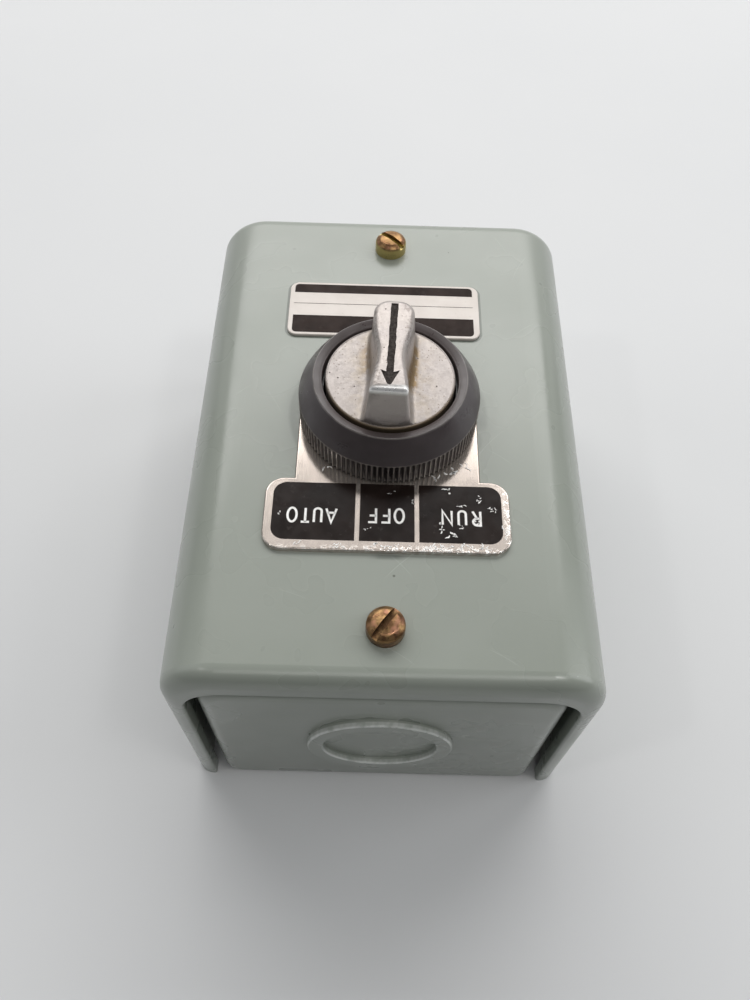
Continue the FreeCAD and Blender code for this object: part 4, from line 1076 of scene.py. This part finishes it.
def area_light(name, place, target, width, height, power, tint=(1.0, 1.0, 1.0)):
    """Rectangular soft light, placed and aimed in metres."""
    light = bpy.data.lights.new(name, "AREA")
    light.shape = "RECTANGLE"
    light.size = width
    light.size_y = height
    light.energy = power
    light.color = tint
    lamp = bpy.data.objects.new(name, light)
    lamp.location = place
    lamp.rotation_euler = (Vector(target) - Vector(place)).to_track_quat("-Z", "Y").to_euler()
    bpy.context.scene.collection.objects.link(lamp)
    return lamp


def make_lights():
    """Broad soft panels. far and sky are what the cover and the legend mirror towards the camera."""
    middle = (0.0, 0.0, 0.05)
    warm, cool = (1.0, 0.99, 0.97), (0.93, 0.97, 1.0)
    key = area_light("key", (-0.05, 0.36, 0.80), middle, 0.26, 0.18, 0.3, (1.0, 0.985, 0.96))
    key.visible_glossy = False
    area_light("far", (0.02, 0.985, 0.965), middle, 2.2, 0.62, 16.4, (1.0, 0.99, 0.98))
    area_light("low_far", (0.0, 1.10, 0.32), middle, 2.8, 0.52, 3.4, (1.0, 0.99, 0.98))
    area_light("sky", (-0.10, 0.52, 1.06), middle, 1.3, 0.42, 1.35, (1.0, 0.985, 0.965))
    area_light("left", (-0.95, 0.05, 0.55), middle, 0.5, 1.0, 1.1, cool)
    area_light("right", (0.95, 0.10, 0.55), middle, 0.5, 1.0, 3.2, (0.97, 0.985, 1.0))
    area_light("overhead", (0.18, -0.38, 1.0), middle, 0.9, 0.30, 1.9, warm)
    area_light("left_lamp", (-0.55, -0.25, 0.92), middle, 0.06, 0.04, 0.55, warm)
    area_light("right_lamp", (0.42, -0.22, 1.0), middle, 0.16, 0.04, 0.60, warm)


def make_room():
    """Dim surroundings for lighting, which the camera sees as a pale wall."""
    lighting, shown = 0.10, 0.72
    world = bpy.data.worlds.new("soft room")
    bpy.context.scene.world = world
    world.use_nodes = True
    tree = world.node_tree
    background = tree.nodes["Background"]
    background.inputs["Color"].default_value = (0.84, 0.87, 0.91, 1.0)
    strength = tree.nodes.new("ShaderNodeMapRange")
    strength.inputs["To Min"].default_value = lighting
    strength.inputs["To Max"].default_value = shown
    path = tree.nodes.new("ShaderNodeLightPath")
    tree.links.new(path.outputs["Is Camera Ray"], strength.inputs["Value"])
    tree.links.new(strength.outputs[0], background.inputs["Strength"])


def make_camera():
    """Looks down at the conduit end from in front, a little rolled."""
    place = Vector((-3.6, -106.1, 197.5)) * MM
    yaw = math.radians(0.88)
    pitch = math.radians(58.39)
    roll = math.radians(2.31)
    lens = 31.2
    forward = Vector((math.sin(yaw) * math.cos(pitch), math.cos(yaw) * math.cos(pitch), -math.sin(pitch)))
    camera = bpy.data.objects.new("camera", bpy.data.cameras.new("camera"))
    camera.data.lens = lens
    camera.data.sensor_width = 36.0
    camera.data.clip_start = 0.01
    camera.location = place
    aim = forward.to_track_quat("-Z", "Y").to_matrix().to_4x4()
    camera.rotation_euler = (aim @ Matrix.Rotation(roll, 4, "Z")).to_euler()
    bpy.context.scene.collection.objects.link(camera)
    bpy.context.scene.camera = camera


make_stage()
make_lights()
make_room()
make_camera()
bpy.context.scene.view_settings.view_transform = "Standard"
